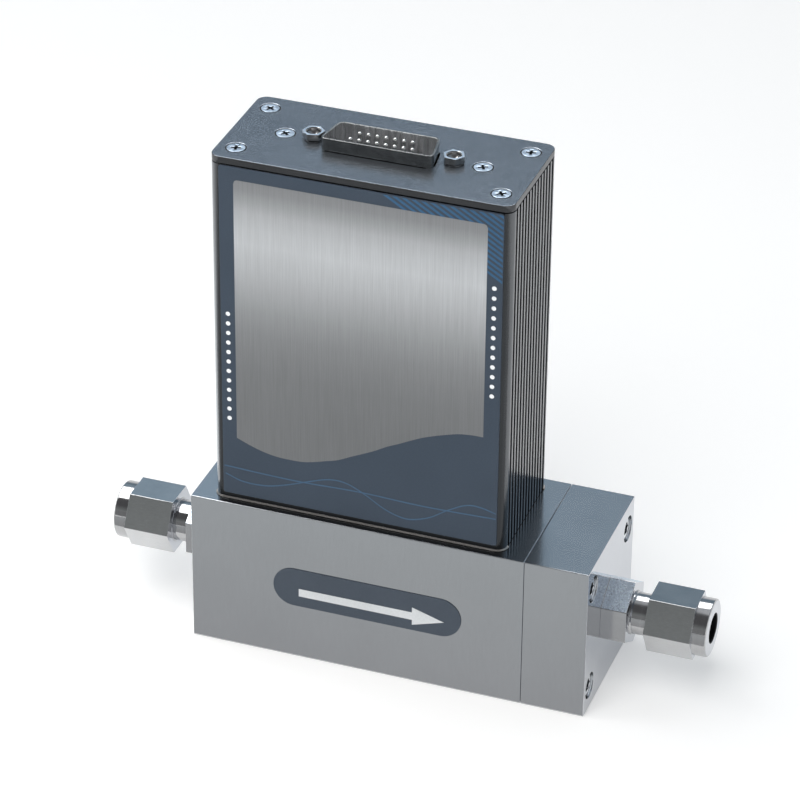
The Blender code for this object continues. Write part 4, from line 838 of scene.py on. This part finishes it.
# %% [markdown]
# ## Tube fittings
# Each fitting starts as hexagon bar, and the lathe turns its neck and thread. The ends of the
# hexagon are faced off square here, so its edges stay straight and crisp, as in the picture.
# The same is done below: a hexagonal bar is joined to a spun neck, and the bore is cut last.

# %% Fitting bodies
FITTING_FLATS = 14.29
HEX_LENGTH = 6.2
SHANK_LENGTH, FITTING_LENGTH = 8.6, 18.6


def fitting_body():
    neck = turned_shape([(0, -SHANK_LENGTH), (5.3, -SHANK_LENGTH), (5.6, 0.3 - SHANK_LENGTH), (5.6, -0.1),
                         (4.6, -0.1), (4.6, 3.0), (5.3, 3.0), (5.3, 6.45), (5.0, 6.75),
                         (5.0, FITTING_LENGTH - 0.3), (4.7, FITTING_LENGTH), (0, FITTING_LENGTH)], 96)
    solid = combined(hex_shape(FITTING_FLATS, 0.02, HEX_LENGTH, math.pi / 2), neck, "UNION")
    bore = turned_shape([(0, -9), (2.4, -9), (2.4, 8.5), (3.35, 8.5), (3.35, 16.0),
                         (4.6, FITTING_LENGTH + 0.05), (0, FITTING_LENGTH + 0.05)], 64)
    return combined(solid, bore)


def metal_of_hex(face):
    """Finish 1 on flats, 4 on flats that face up (a painted sheen on the fittings), 2 on ends, 3 in the bore
    and 0 where it is turned.
    """
    out = face.calc_center_median().yz / MM - Vector((0.0, FLOW_HEIGHT))
    if out.length < 4.6 and out.dot(face.normal.yz) <= 0.01:
        return 3 if abs(face.normal.x) < 0.95 else 2
    if abs(face.normal.x) > 0.9:
        return 2
    if abs(face.normal.x) > 0.02 or face.calc_area() < 12e-6:
        return 0
    return 4 if face.normal.z > 0.6 else 1


def put_on_both_ends(kind, make, metals):
    """The same piece at the inlet and at the outlet."""
    for end_name, turn, way in (("inlet", to_left, -1), ("outlet", to_right, 1)):
        shape = moved(make(), (way * END_FACE, 0, FLOW_HEIGHT), turn)
        shape.normal_update()
        piece(f"{end_name}_{kind}_body", shape, metals, (f"{end_name}_{kind}",),
              soft=0.08, angle=24, choose=metal_of_hex)


put_on_both_ends("fitting", fitting_body,
                 [turned_steel, milled_steel, mirror_end, bore_shade, sparkle_and_sheen_steel])
print("fitting bodies: hexagon", FITTING_FLATS, "mm across its flats")

# %% [markdown]
# ## Nuts
# A compression nut is a hexagon with a short smooth collar in front, where the tube goes in.
# The collar carries the brightest highlight of the picture, so it is spun with many steps and
# gets a rounded rim. The bore is cut last, wide for the thread and narrow at the mouth.

# %% Nuts
NUT_START, NUT_HEX_END, NUT_END = 10.4, 21.8, 25.2
COLLAR_RADIUS = 6.95


def nut_shape():
    outer = turned_shape([(0, NUT_START), (5.3, NUT_START), (5.5, 10.55), (5.5, 20.0), (COLLAR_RADIUS, 20.0),
                          (COLLAR_RADIUS, 24.75), (6.85, 25.0), (6.6, 25.16), (6.3, NUT_END),
                          (0, NUT_END)], 120)
    solid = combined(hex_shape(FITTING_FLATS, NUT_START + 0.2, NUT_HEX_END), outer, "UNION")
    bore = turned_shape([(0, 10.2), (5.04, 10.2), (5.04, 19.4), (4.7, 20.0), (4.7, 22.3), (3.5, 22.9),
                         (3.5, NUT_END - 0.25), (3.75, NUT_END + 0.05), (0, NUT_END + 0.05)], 72)
    return combined(solid, bore)


put_on_both_ends("nut", nut_shape, [turned_steel, milled_steel, mirror_end, bore_shade, milled_steel])
print("nuts: collar", 2 * COLLAR_RADIUS, "mm across")

# %% [markdown]
# ## The ribbed housing
# The housing is a length of extruded tube with rounded corners and thirteen grooves in each end.
# The profile could be drawn point by point. Cutting a rounded bar with rows of thin boxes gives
# the same ribs, and a bevel on every groove edge catches the light as real extrusions do.
# At the foot, in front and at the corners, a narrow slope leads out. It faces up and gets a light,
# warm colour, a painted highlight that shows as one fine light line; its mirror image in the block stays dark.

# %% Housing
HOUSING_X = -7.95
HOUSING_HALF, HOUSING_DEPTH = 35.7, 15.9
HOUSING_LOW, HOUSING_TOP = 39.45, 126.8
CORNER = 2.5
WALL_X, WALL_Y = 2.8, 2.6
GROOVES, GROOVE_PITCH, GROOVE_HALF, GROOVE_DEPTH = 13, 2.1, 0.51, 0.85
GROOVED_HALF = 13.2


def around(half_x, half_y, centre_x=HOUSING_X, centre_y=0.0):
    """The four corners of a rectangle round a centre."""
    return [(centre_x - half_x, centre_y - half_y), (centre_x + half_x, centre_y - half_y),
            (centre_x + half_x, centre_y + half_y), (centre_x - half_x, centre_y + half_y)]


def groove_row(way):
    """Thin boxes that cut one end's grooves."""
    face = HOUSING_X + way * HOUSING_HALF
    low_x, high_x = sorted((face - way * GROOVE_DEPTH, face + way * 1.0))
    middles = [GROOVE_PITCH * (step - GROOVES // 2) for step in range(GROOVES)]
    return joined(*[box_shape((low_x, middle - GROOVE_HALF, HOUSING_LOW - 1),
                              (high_x, middle + GROOVE_HALF, HOUSING_TOP + 1)) for middle in middles])


def housing_finish(face):
    """Finish 1 on the rib faces, 2 in the grooves and 0 elsewhere."""
    middle = face.calc_center_median() / MM
    out = abs(middle.x - HOUSING_X)
    if abs(face.normal.x) > 0.9 and out > HOUSING_HALF - 0.1:
        return 1
    in_groove = out > HOUSING_HALF - 1.0 and abs(middle.y) < GROOVED_HALF and abs(face.normal.z) < 0.5
    return 2 if in_groove else 0


shell = outline_shape(around(HOUSING_HALF, HOUSING_DEPTH), CORNER, HOUSING_LOW, HOUSING_TOP, steps=14)
shell = combined(shell, joined(groove_row(-1), groove_row(1)))
hollow = outline_shape(around(HOUSING_HALF - WALL_X, HOUSING_DEPTH - WALL_Y), 1.0,
                       HOUSING_LOW - 1, HOUSING_TOP + 1)
shell = combined(shell, hollow)
shell.normal_update()
piece("housing_extrusion", shell, [dark_anodised, lit_rib_face, groove_shade], ("housing",),
      soft=0.13, segments=2, angle=30, choose=housing_finish)
print("housing:", GROOVES, "grooves in each end")

# %% Slope at the housing's foot
SLOPE_OUT, SLOPE_HEIGHT = 0.32, 0.35
SLOPE_PROUD = 0.02

slope = outline_shape(around(HOUSING_HALF + SLOPE_OUT, HOUSING_DEPTH + SLOPE_OUT), CORNER + SLOPE_OUT,
                      HOUSING_LOW, HOUSING_LOW + SLOPE_HEIGHT, steps=14)
upper = [vert for vert in slope.verts if vert.co.z > (HOUSING_LOW + SLOPE_HEIGHT / 2) * MM]
narrower = ((HOUSING_HALF + SLOPE_PROUD) / (HOUSING_HALF + SLOPE_OUT),
            (HOUSING_DEPTH + SLOPE_PROUD) / (HOUSING_DEPTH + SLOPE_OUT), 1.0)
bmesh.ops.scale(slope, vec=narrower, space=Matrix.Translation((-HOUSING_X * MM, 0, 0)), verts=upper)
inner = outline_shape(around(HOUSING_HALF - 0.5, HOUSING_DEPTH - 0.5), 2.0, HOUSING_LOW - 1, HOUSING_LOW + 1)
slope = combined(slope, inner)
slope = combined(slope, box_shape((HOUSING_X - 40, -GROOVED_HALF, HOUSING_LOW - 1),
                                  (HOUSING_X + 40, GROOVED_HALF, HOUSING_LOW + 1)))
# The slope carries a painted highlight along the housing's foot.
piece("housing_lower_rim", slope, [painted_highlight_rim], angle=30)
print("slope at the foot:", SLOPE_OUT, "mm out")

# %% [markdown]
# ## The label
# The label is a printed film on the housing's front. Its parts are cut as thin layers: the film,
# the bare brushed field with its wavy lower edge, two fine waves, slanted stripes and dots.
# A picture texture would blur in a close view. Cut layers stay sharp, and every ink is its own finish.

# %% Label film
LABEL_LOW, LABEL_TOP = 41.1, 126.8
LABEL_X = HOUSING_X + 0.4
LABEL_HALF = 33.55
LABEL_FACE = -16.40
INK = 0.02
to_front = Matrix.Rotation(math.pi / 2, 3, "X")


def upright(shape, front):
    """Stands a slab that was made flat on its edge, with its top towards the front."""
    return moved(shape, (0, front, 0), to_front)


film_corners = [(LABEL_X - LABEL_HALF, LABEL_LOW), (LABEL_X + LABEL_HALF, LABEL_LOW),
                (LABEL_X + LABEL_HALF, LABEL_TOP), (LABEL_X - LABEL_HALF, LABEL_TOP)]
film_shape = upright(outline_shape(film_corners, 0.6, -0.45, 0.0), LABEL_FACE)
piece("label_film", film_shape, [label_film], ("front_label",), soft=0.06, segments=2)
print("label film:", 2 * LABEL_HALF, "by", LABEL_TOP - LABEL_LOW, "mm")

# %% Smooth curve through a few points
def curve_height(points, x):
    """Height at x of a smooth curve through points, by Hermite's formula."""
    index = sum(1 for point in points[1:-1] if point[0] < x)
    (x0, y0), (x1, y1) = points[index:index + 2]
    before = points[max(index - 1, 0)]
    after = points[min(index + 2, len(points) - 1)]
    slope0 = (y1 - before[1]) / (x1 - before[0])
    slope1 = (after[1] - y0) / (after[0] - x0)
    run = x1 - x0
    t = (x - x0) / run
    return ((2 * t ** 3 - 3 * t ** 2 + 1) * y0 + (t ** 3 - 2 * t ** 2 + t) * run * slope0
            + (-2 * t ** 3 + 3 * t ** 2) * y1 + (t ** 3 - t ** 2) * run * slope1)


def strip(low_x, high_x, lower, upper, thickness, steps=96):
    """A thin layer on the label between two curves, given as functions of x in millimetres."""
    shape = bmesh.new()
    bmesh.ops.create_grid(shape, x_segments=steps, y_segments=1, size=0.5)
    for vert in shape.verts:
        x = low_x + (vert.co.x + 0.5) * (high_x - low_x)
        height = upper(x) if vert.co.y > 0 else lower(x)
        vert.co = Vector((x, height, 0.0)) * MM
    return upright(raise_face(shape, thickness), LABEL_FACE)


print("curves ready")

# %% Brushed field
PANEL_LEFT, PANEL_RIGHT, PANEL_TOP = HOUSING_X - 29.6, HOUSING_X + 30.25, 123.75
PANEL_CORNER = 1.0
field_edge = [(-37.7, 56.55), (-33.7, 54.95), (-30.4, 53.95), (-27.4, 53.45), (-24.4, 53.35), (-21.4, 53.45),
              (-18.5, 54.05), (-15.5, 54.95), (-12.6, 55.85), (-9.6, 57.35), (-6.7, 58.75), (-3.7, 60.25),
              (-0.8, 61.95), (2.1, 63.35), (5.0, 64.85), (7.9, 66.25), (10.8, 67.35), (13.6, 68.25),
              (16.5, 69.05), (19.4, 69.4), (22.2, 69.45), (23.1, 69.4)]


def panel_top(x):
    """A straight top with two rounded corners."""
    inside = min(x - PANEL_LEFT, PANEL_RIGHT - x)
    if inside >= PANEL_CORNER:
        return PANEL_TOP
    return PANEL_TOP - PANEL_CORNER + math.sqrt(max(0.0, PANEL_CORNER ** 2 - (PANEL_CORNER - inside) ** 2))


panel = strip(PANEL_LEFT, PANEL_RIGHT, lambda x: curve_height(field_edge, x), panel_top, 0.03, steps=240)
piece("label_brushed_field", panel, [brushed_panel], soft=0.01, segments=1)
print("brushed field:", round(PANEL_RIGHT - PANEL_LEFT, 1), "mm wide")

# %% Waves
LINE_HALF = 0.14
deep_wave = [(-32.96, 46.32), (-28.76, 44.93), (-23.0, 44.93), (-17.67, 46.36), (-12.72, 48.24), (-7.42, 50.03),
             (-3.28, 50.03), (1.23, 48.11), (6.5, 44.99), (11.0, 43.61),
             (14.0, 43.95), (17.7, 45.41), (21.63, 48.09),
             (26.39, 50.52), (29.71, 50.59), (33.3, 49.7)]
flat_wave = [(-33.2, 48.4), (-16.0, 47.9), (0.0, 48.3), (16.0, 47.9), (33.3, 48.3)]

for index, points in enumerate((deep_wave, flat_wave)):
    wave = [(LABEL_X + x, height) for x, height in points]
    line = strip(wave[0][0], wave[-1][0], lambda x: curve_height(wave, x) - LINE_HALF,
                 lambda x: curve_height(wave, x) + LINE_HALF, INK + 0.01 * index)
    piece(f"label_wave_{index + 1}", line, [line_ink])
print("waves:", 2 * LINE_HALF, "mm thick")

# %% Stripes
STRIPE_PITCH = 2.22
STRIPE_SLOPE = -0.606
STRIPE_X, STRIPE_Z = HOUSING_X + 5.5, 126.8
STRIPE_COUNT = 22
STRIPES_LOW = 104.0
slant = Vector((-STRIPE_SLOPE, 1.0, 0.0)).normalized()


def slice_flat(shape, point, normal):
    bmesh.ops.bisect_plane(shape, geom=shape.verts[:] + shape.edges[:] + shape.faces[:],
                           plane_co=Vector(point) * MM, plane_no=normal, dist=1e-8)


def is_printed(face):
    """Every second band is blue, outside the brushed field."""
    middle = face.calc_center_median() / MM
    along = middle.x - STRIPE_X - (middle.y - STRIPE_Z) / STRIPE_SLOPE
    band = math.floor(along / (STRIPE_PITCH / 2))
    on_field = middle.x < PANEL_RIGHT and middle.y < PANEL_TOP
    return not on_field and 0 <= band <= 2 * STRIPE_COUNT and band % 2 == 0


stripes = bmesh.new()
bmesh.ops.create_grid(stripes, x_segments=1, y_segments=1, size=0.5)
low_x, high_x = STRIPE_X - 1.0, LABEL_X + LABEL_HALF - 0.12
low_z, high_z = STRIPES_LOW, LABEL_TOP - 0.15
bmesh.ops.scale(stripes, vec=((high_x - low_x) * MM, (high_z - low_z) * MM, 1.0), verts=stripes.verts)
moved(stripes, ((low_x + high_x) / 2, (low_z + high_z) / 2, 0.0))
for band in range(2 * STRIPE_COUNT + 1):
    slice_flat(stripes, (STRIPE_X + band * STRIPE_PITCH / 2, STRIPE_Z, 0), slant)
slice_flat(stripes, (PANEL_RIGHT, 0, 0), (1, 0, 0))
slice_flat(stripes, (0, PANEL_TOP, 0), (0, 1, 0))
unprinted = [face for face in stripes.faces if not is_printed(face)]
bmesh.ops.delete(stripes, geom=unprinted, context="FACES")
piece("label_stripes", upright(raise_face(stripes, INK), LABEL_FACE), [blue_ink])
print("stripes:", STRIPE_COUNT)

# %% Dots
DOT_RADIUS, DOT_PITCH, DOT_COUNT = 0.55, 2.51, 12
dots = []
for across, top in ((HOUSING_X - 31.36, 89.13), (HOUSING_X + 32.03, 108.15)):
    for step in range(DOT_COUNT):
        dot = bmesh.new()
        bmesh.ops.create_circle(dot, cap_ends=True, segments=20, radius=DOT_RADIUS * MM)
        dots.append(upright(raise_face(moved(dot, (across, top - step * DOT_PITCH, 0)), INK), LABEL_FACE))
print("dots:", len(dots))
piece("label_dots", joined(*dots), [white_ink])

# %% [markdown]
# ## The flow badge
# The badge shows which way the gas goes. It is a film with round ends and a bold arrow.
# The film starts as a rectangle whose corners are beveled by half its height, which makes
# half circles, and the arrow is a flat outline of seven corners that gets a thickness.

# %% Badge and arrow
BADGE_X, BADGE_Z, BADGE_FACE = -4.8, 19.6, -18.32
BADGE_HALF_LENGTH, BADGE_HALF_HEIGHT = 23.3, 5.1
ARROW_TAIL, ARROW_NECK, ARROW_TIP = -21.7, 6.5, 14.35
ARROW_LOW, ARROW_HIGH = 17.37, 19.43
HEAD_LOW, HEAD_MIDDLE, HEAD_HIGH = 16.0, 18.43, 20.85

badge = outline_shape(around(BADGE_HALF_LENGTH, BADGE_HALF_HEIGHT, BADGE_X, BADGE_Z),
                      BADGE_HALF_HEIGHT - 0.01, -0.2, 0.0, steps=24)
piece("flow_badge_film", upright(badge, BADGE_FACE), [badge_film], ("flow_badge",),
      soft=0.06, segments=2)

arrow = bmesh.new()
arrow_corners = [(ARROW_TAIL, ARROW_LOW), (ARROW_NECK, ARROW_LOW), (ARROW_NECK, HEAD_LOW),
                 (ARROW_TIP, HEAD_MIDDLE), (ARROW_NECK, HEAD_HIGH), (ARROW_NECK, ARROW_HIGH),
                 (ARROW_TAIL, ARROW_HIGH)]
arrow.faces.new([arrow.verts.new((x * MM, z * MM, 0.0)) for x, z in arrow_corners])
piece("flow_arrow", upright(raise_face(arrow, 0.03), BADGE_FACE), [arrow_ink])
print("arrow:", ARROW_TIP - ARROW_TAIL, "mm long")

# %% [markdown]
# ## The top plate
# The plate is milled from sheet with the housing's outline. Six countersinks, a D-shaped opening
# and two holes for the plug's posts go through it. The cutters are the same simple shapes as
# before: cones for the countersinks and rounded outlines for the opening.

# %% Top plate
PLATE_LOW, PLATE_TOP = 127.0, 128.7
PLUG_Y = -0.35
PLUG_FRONT, PLUG_REAR, PLUG_DEPTH = 13.4, 11.95, 4.65
JACK_HALF_SPAN = 16.65
lid_screw_spots = [(HOUSING_X + x, y, PLATE_TOP) for x in (-31.2, 31.2) for y in (-10.5, 10.5)]
lid_screw_spots += [(HOUSING_X + x, 0.0, PLATE_TOP) for x in (-23.45, 23.45)]
jack_spots = [(HOUSING_X + way * JACK_HALF_SPAN, 0.0, PLATE_TOP) for way in (-1, 1)]


def plug_outline(grow, radius, low, high):
    """The plug's D shape, wide in front and narrow behind, in millimetres."""
    front, rear, depth = PLUG_FRONT + grow, PLUG_REAR + grow, PLUG_DEPTH + grow
    corners = [(HOUSING_X - front, PLUG_Y - depth), (HOUSING_X + front, PLUG_Y - depth),
               (HOUSING_X + rear, PLUG_Y + depth), (HOUSING_X - rear, PLUG_Y + depth)]
    return outline_shape(corners, radius, low, high, steps=10)


def plate_metal(face):
    return 0 if abs(face.normal.z) > 0.7 else 1


sink_profile = [(0, -3), (1.6, -3), (1.6, -1.25), (2.45, 0.0), (2.45, 0.5), (0, 0.5)]
sinks = [moved(turned_shape(sink_profile, 56), spot) for spot in lid_screw_spots]
post_holes = [moved(round_bar(2.0, -3, 1), spot) for spot in jack_spots]
plate = outline_shape(around(HOUSING_HALF, HOUSING_DEPTH), CORNER, PLATE_LOW, PLATE_TOP, steps=14)
plate = combined(plate, joined(*sinks, *post_holes))
plate = combined(plate, plug_outline(0.25, 2.4, PLATE_LOW - 1, PLATE_TOP + 1))
plate.normal_update()
piece("top_plate_blasted", plate, [blasted_plate, plate_edge], ("top_plate",), soft=0.15,
      choose=plate_metal)
print("plate:", len(lid_screw_spots), "countersinks")

# %% [markdown]
# ## Countersunk screws
# Small zinc plated screws with a cross in the head hold the lid. Each head is a shallow cone with a
# thin rim. The cross is cut with two wedges that get narrower towards the bottom, as the real
# driver's tip does, and every screw stops at its own angle.

# %% Lid screws
CROSS_TURNS = (12, 64, 35, 8, 50, 27)
ARM_REACH, ARM_HALF, ARM_DEPTH = 1.3, 0.34, 1.2


def cross_cutter(turn):
    arms = []
    for quarter in (0, 90):
        arm = box_shape((-ARM_REACH, -ARM_HALF, -ARM_DEPTH), (ARM_REACH, ARM_HALF, 0.4))
        deep = [vert for vert in arm.verts if vert.co.z < 0]
        bmesh.ops.scale(arm, vec=(0.5, 0.75, 1.0), verts=deep)
        arms.append(moved(arm, turn=Matrix.Rotation(math.radians(quarter + turn), 3, "Z")))
    return combined(arms[0], arms[1], "UNION")


def lid_screw(turn):
    """A screw whose cross is finish 1 and whose rest is finish 0."""
    head = turned_shape([(0, -7.6), (1.1, -7.6), (1.4, -7.3), (1.4, -1.15), (2.12, -0.2), (2.15, -0.08),
                         (2.05, 0.0), (0, 0.0)], 64)
    screw = combined(head, cross_cutter(turn))
    for face in screw.faces:
        middle = face.calc_center_median() / MM
        face.material_index = 1 if middle.xy.length < 1.25 and -1.25 < middle.z < -0.01 else 0
    return screw


for number, (spot, turn) in enumerate(zip(lid_screw_spots, CROSS_TURNS), 1):
    piece(f"lid_screw_head_{number}", moved(lid_screw(turn), spot), [zinc, recess_shade],
          (f"lid_screw_{number}",), soft=0.04, segments=2, angle=28)
print("lid screws:", len(lid_screw_spots))

# %% [markdown]
# ## The plug
# The plug's shell is drawn from sheet steel and plated, so its rim and corners are soft. A D-shaped
# slab is hollowed by a smaller one and joined to its flange. The shell of a real plug leans in a
# little towards the rim; here the wall is straight, which keeps the opening its full size. Inside,
# the sheet is streaked from the drawing and gets a brighter copy of the plating, painted light for
# the reflections there, and it lights up the dark floor of the plug.

# %% Plug shell
FLANGE_LOW, FLANGE_TOP, RIM = 126.1, 126.8, 131.8
SHEET = 0.4

wall = combined(plug_outline(0.0, 1.4, FLANGE_TOP - 0.3, RIM),
                outline_shape(around(19.6, 6.25), 1.2, FLANGE_LOW, FLANGE_TOP), "UNION")
wall = combined(wall, plug_outline(-SHEET, 1.0, FLANGE_LOW - 1, RIM + 1))
wall = combined(wall, joined(*[moved(round_bar(1.6, -4, 0, 40), spot) for spot in jack_spots]))


def shell_finish(face):
    """Finish 1 inside, where the normal looks towards the middle of the plug, and 0 elsewhere."""
    out = face.calc_center_median() - Vector((HOUSING_X, PLUG_Y, 0.0)) * MM
    return 1 if abs(face.normal.z) < 0.5 and out.xy.dot(face.normal.xy) < 0 else 0


wall.normal_update()
piece("plug_shell", wall, [shell_metal, shell_inside_lit], ("connector_shell",), soft=0.1,
      angle=28, choose=shell_finish)
print("plug shell: rim at", RIM, "mm")

# %% [markdown]
# ## Pins
# Fifteen plated pins stand in the plug in two rows. Each is turned from wire, and its tip is rounded
# so that it finds its socket. A plain cylinder would do from afar, but the spun profile gives the
# round tip as well, and the rows come from one pitch.

# %% Fifteen pins
PIN_RADIUS, PIN_PITCH, PIN_LOW = 0.5, 2.1, 113.6
pin_profile = [(0, PIN_LOW), (PIN_RADIUS, PIN_LOW), (PIN_RADIUS, 130.75), (0.46, 130.95), (0.34, 131.11),
               (0.17, 131.19), (0, 131.2)]
pin_spots = [(HOUSING_X + PIN_PITCH * (step - 3.5), -1.5) for step in range(8)]
pin_spots += [(HOUSING_X + PIN_PITCH * (step - 3), 1.8) for step in range(7)]
for number, (x, y) in enumerate(pin_spots, 1):
    piece(f"plug_pin_{number}", moved(turned_shape(pin_profile, 24), (x, y, 0)), [pin_plating],
          (f"pin_{number}",), angle=60)
print("pins:", len(pin_spots))

# %% [markdown]
# ## Posts beside the plug
# The cable's screws go into two small hexagonal posts. Each is a short hexagonal bar on a turned
# shank. A rounded hollow in its top stands for the threaded hole, and the top face is zinc bright.

# %% Posts
POST_FLATS, POST_HEIGHT = 4.5, 1.9


def post_finish(face):
    return 1 if face.normal.z > 0.95 else 0


shank_profile = [(0, -6.0), (1.2, -6.0), (1.4, -5.8), (1.4, 0.1), (1.9, 0.1), (1.9, 0.6), (0, 0.6)]
hollow_profile = [(0, 0.2), (0.8, 0.45), (1.55, 1.15), (1.55, 1.6), (1.85, 1.95), (0, 1.95)]
for number, (spot, turn) in enumerate(zip(jack_spots, (-15, 24)), 1):
    post = combined(hex_shape(POST_FLATS, 0.3, POST_HEIGHT, math.radians(turn), 0.05),
                    turned_shape(shank_profile, 48), "UNION")
    post = combined(post, turned_shape(hollow_profile, 48))
    piece(f"plug_post_{number}", moved(post, spot), [jack_steel, zinc],
          (f"jack_screw_{number}",), soft=0.06, segments=2, angle=24, choose=post_finish)
print("posts:", len(jack_spots))

# %% [markdown]
# ## Solids that stay as they are
# Rings, ferrules, the sensor and the board sit inside, where a facet can't be seen. They keep
# their CAD mesh and only get a finish. One table pairs each family of names with its finish,
# and every shown solid whose name holds one of these families gets it.

# %% Finishes for the remaining solids
families = {
    "seal": seal_rubber,
    "ferrule": turned_steel,
    "restrictor": sensor_steel,
    "winding": copper_winding,
    "sensor": sensor_steel,
    "insulator": black_plastic,
    "board_bracket": bracket_metal,
    "circuit_board": board_green,
}
dressed = 0
for name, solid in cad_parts.items():
    family = next((family for family in families if family in name), None)
    if solid.hide_render or family is None:
        continue
    for slot in solid.material_slots:
        slot.material = families[family]
    dressed += 1
print("solids with a new finish:", dressed)
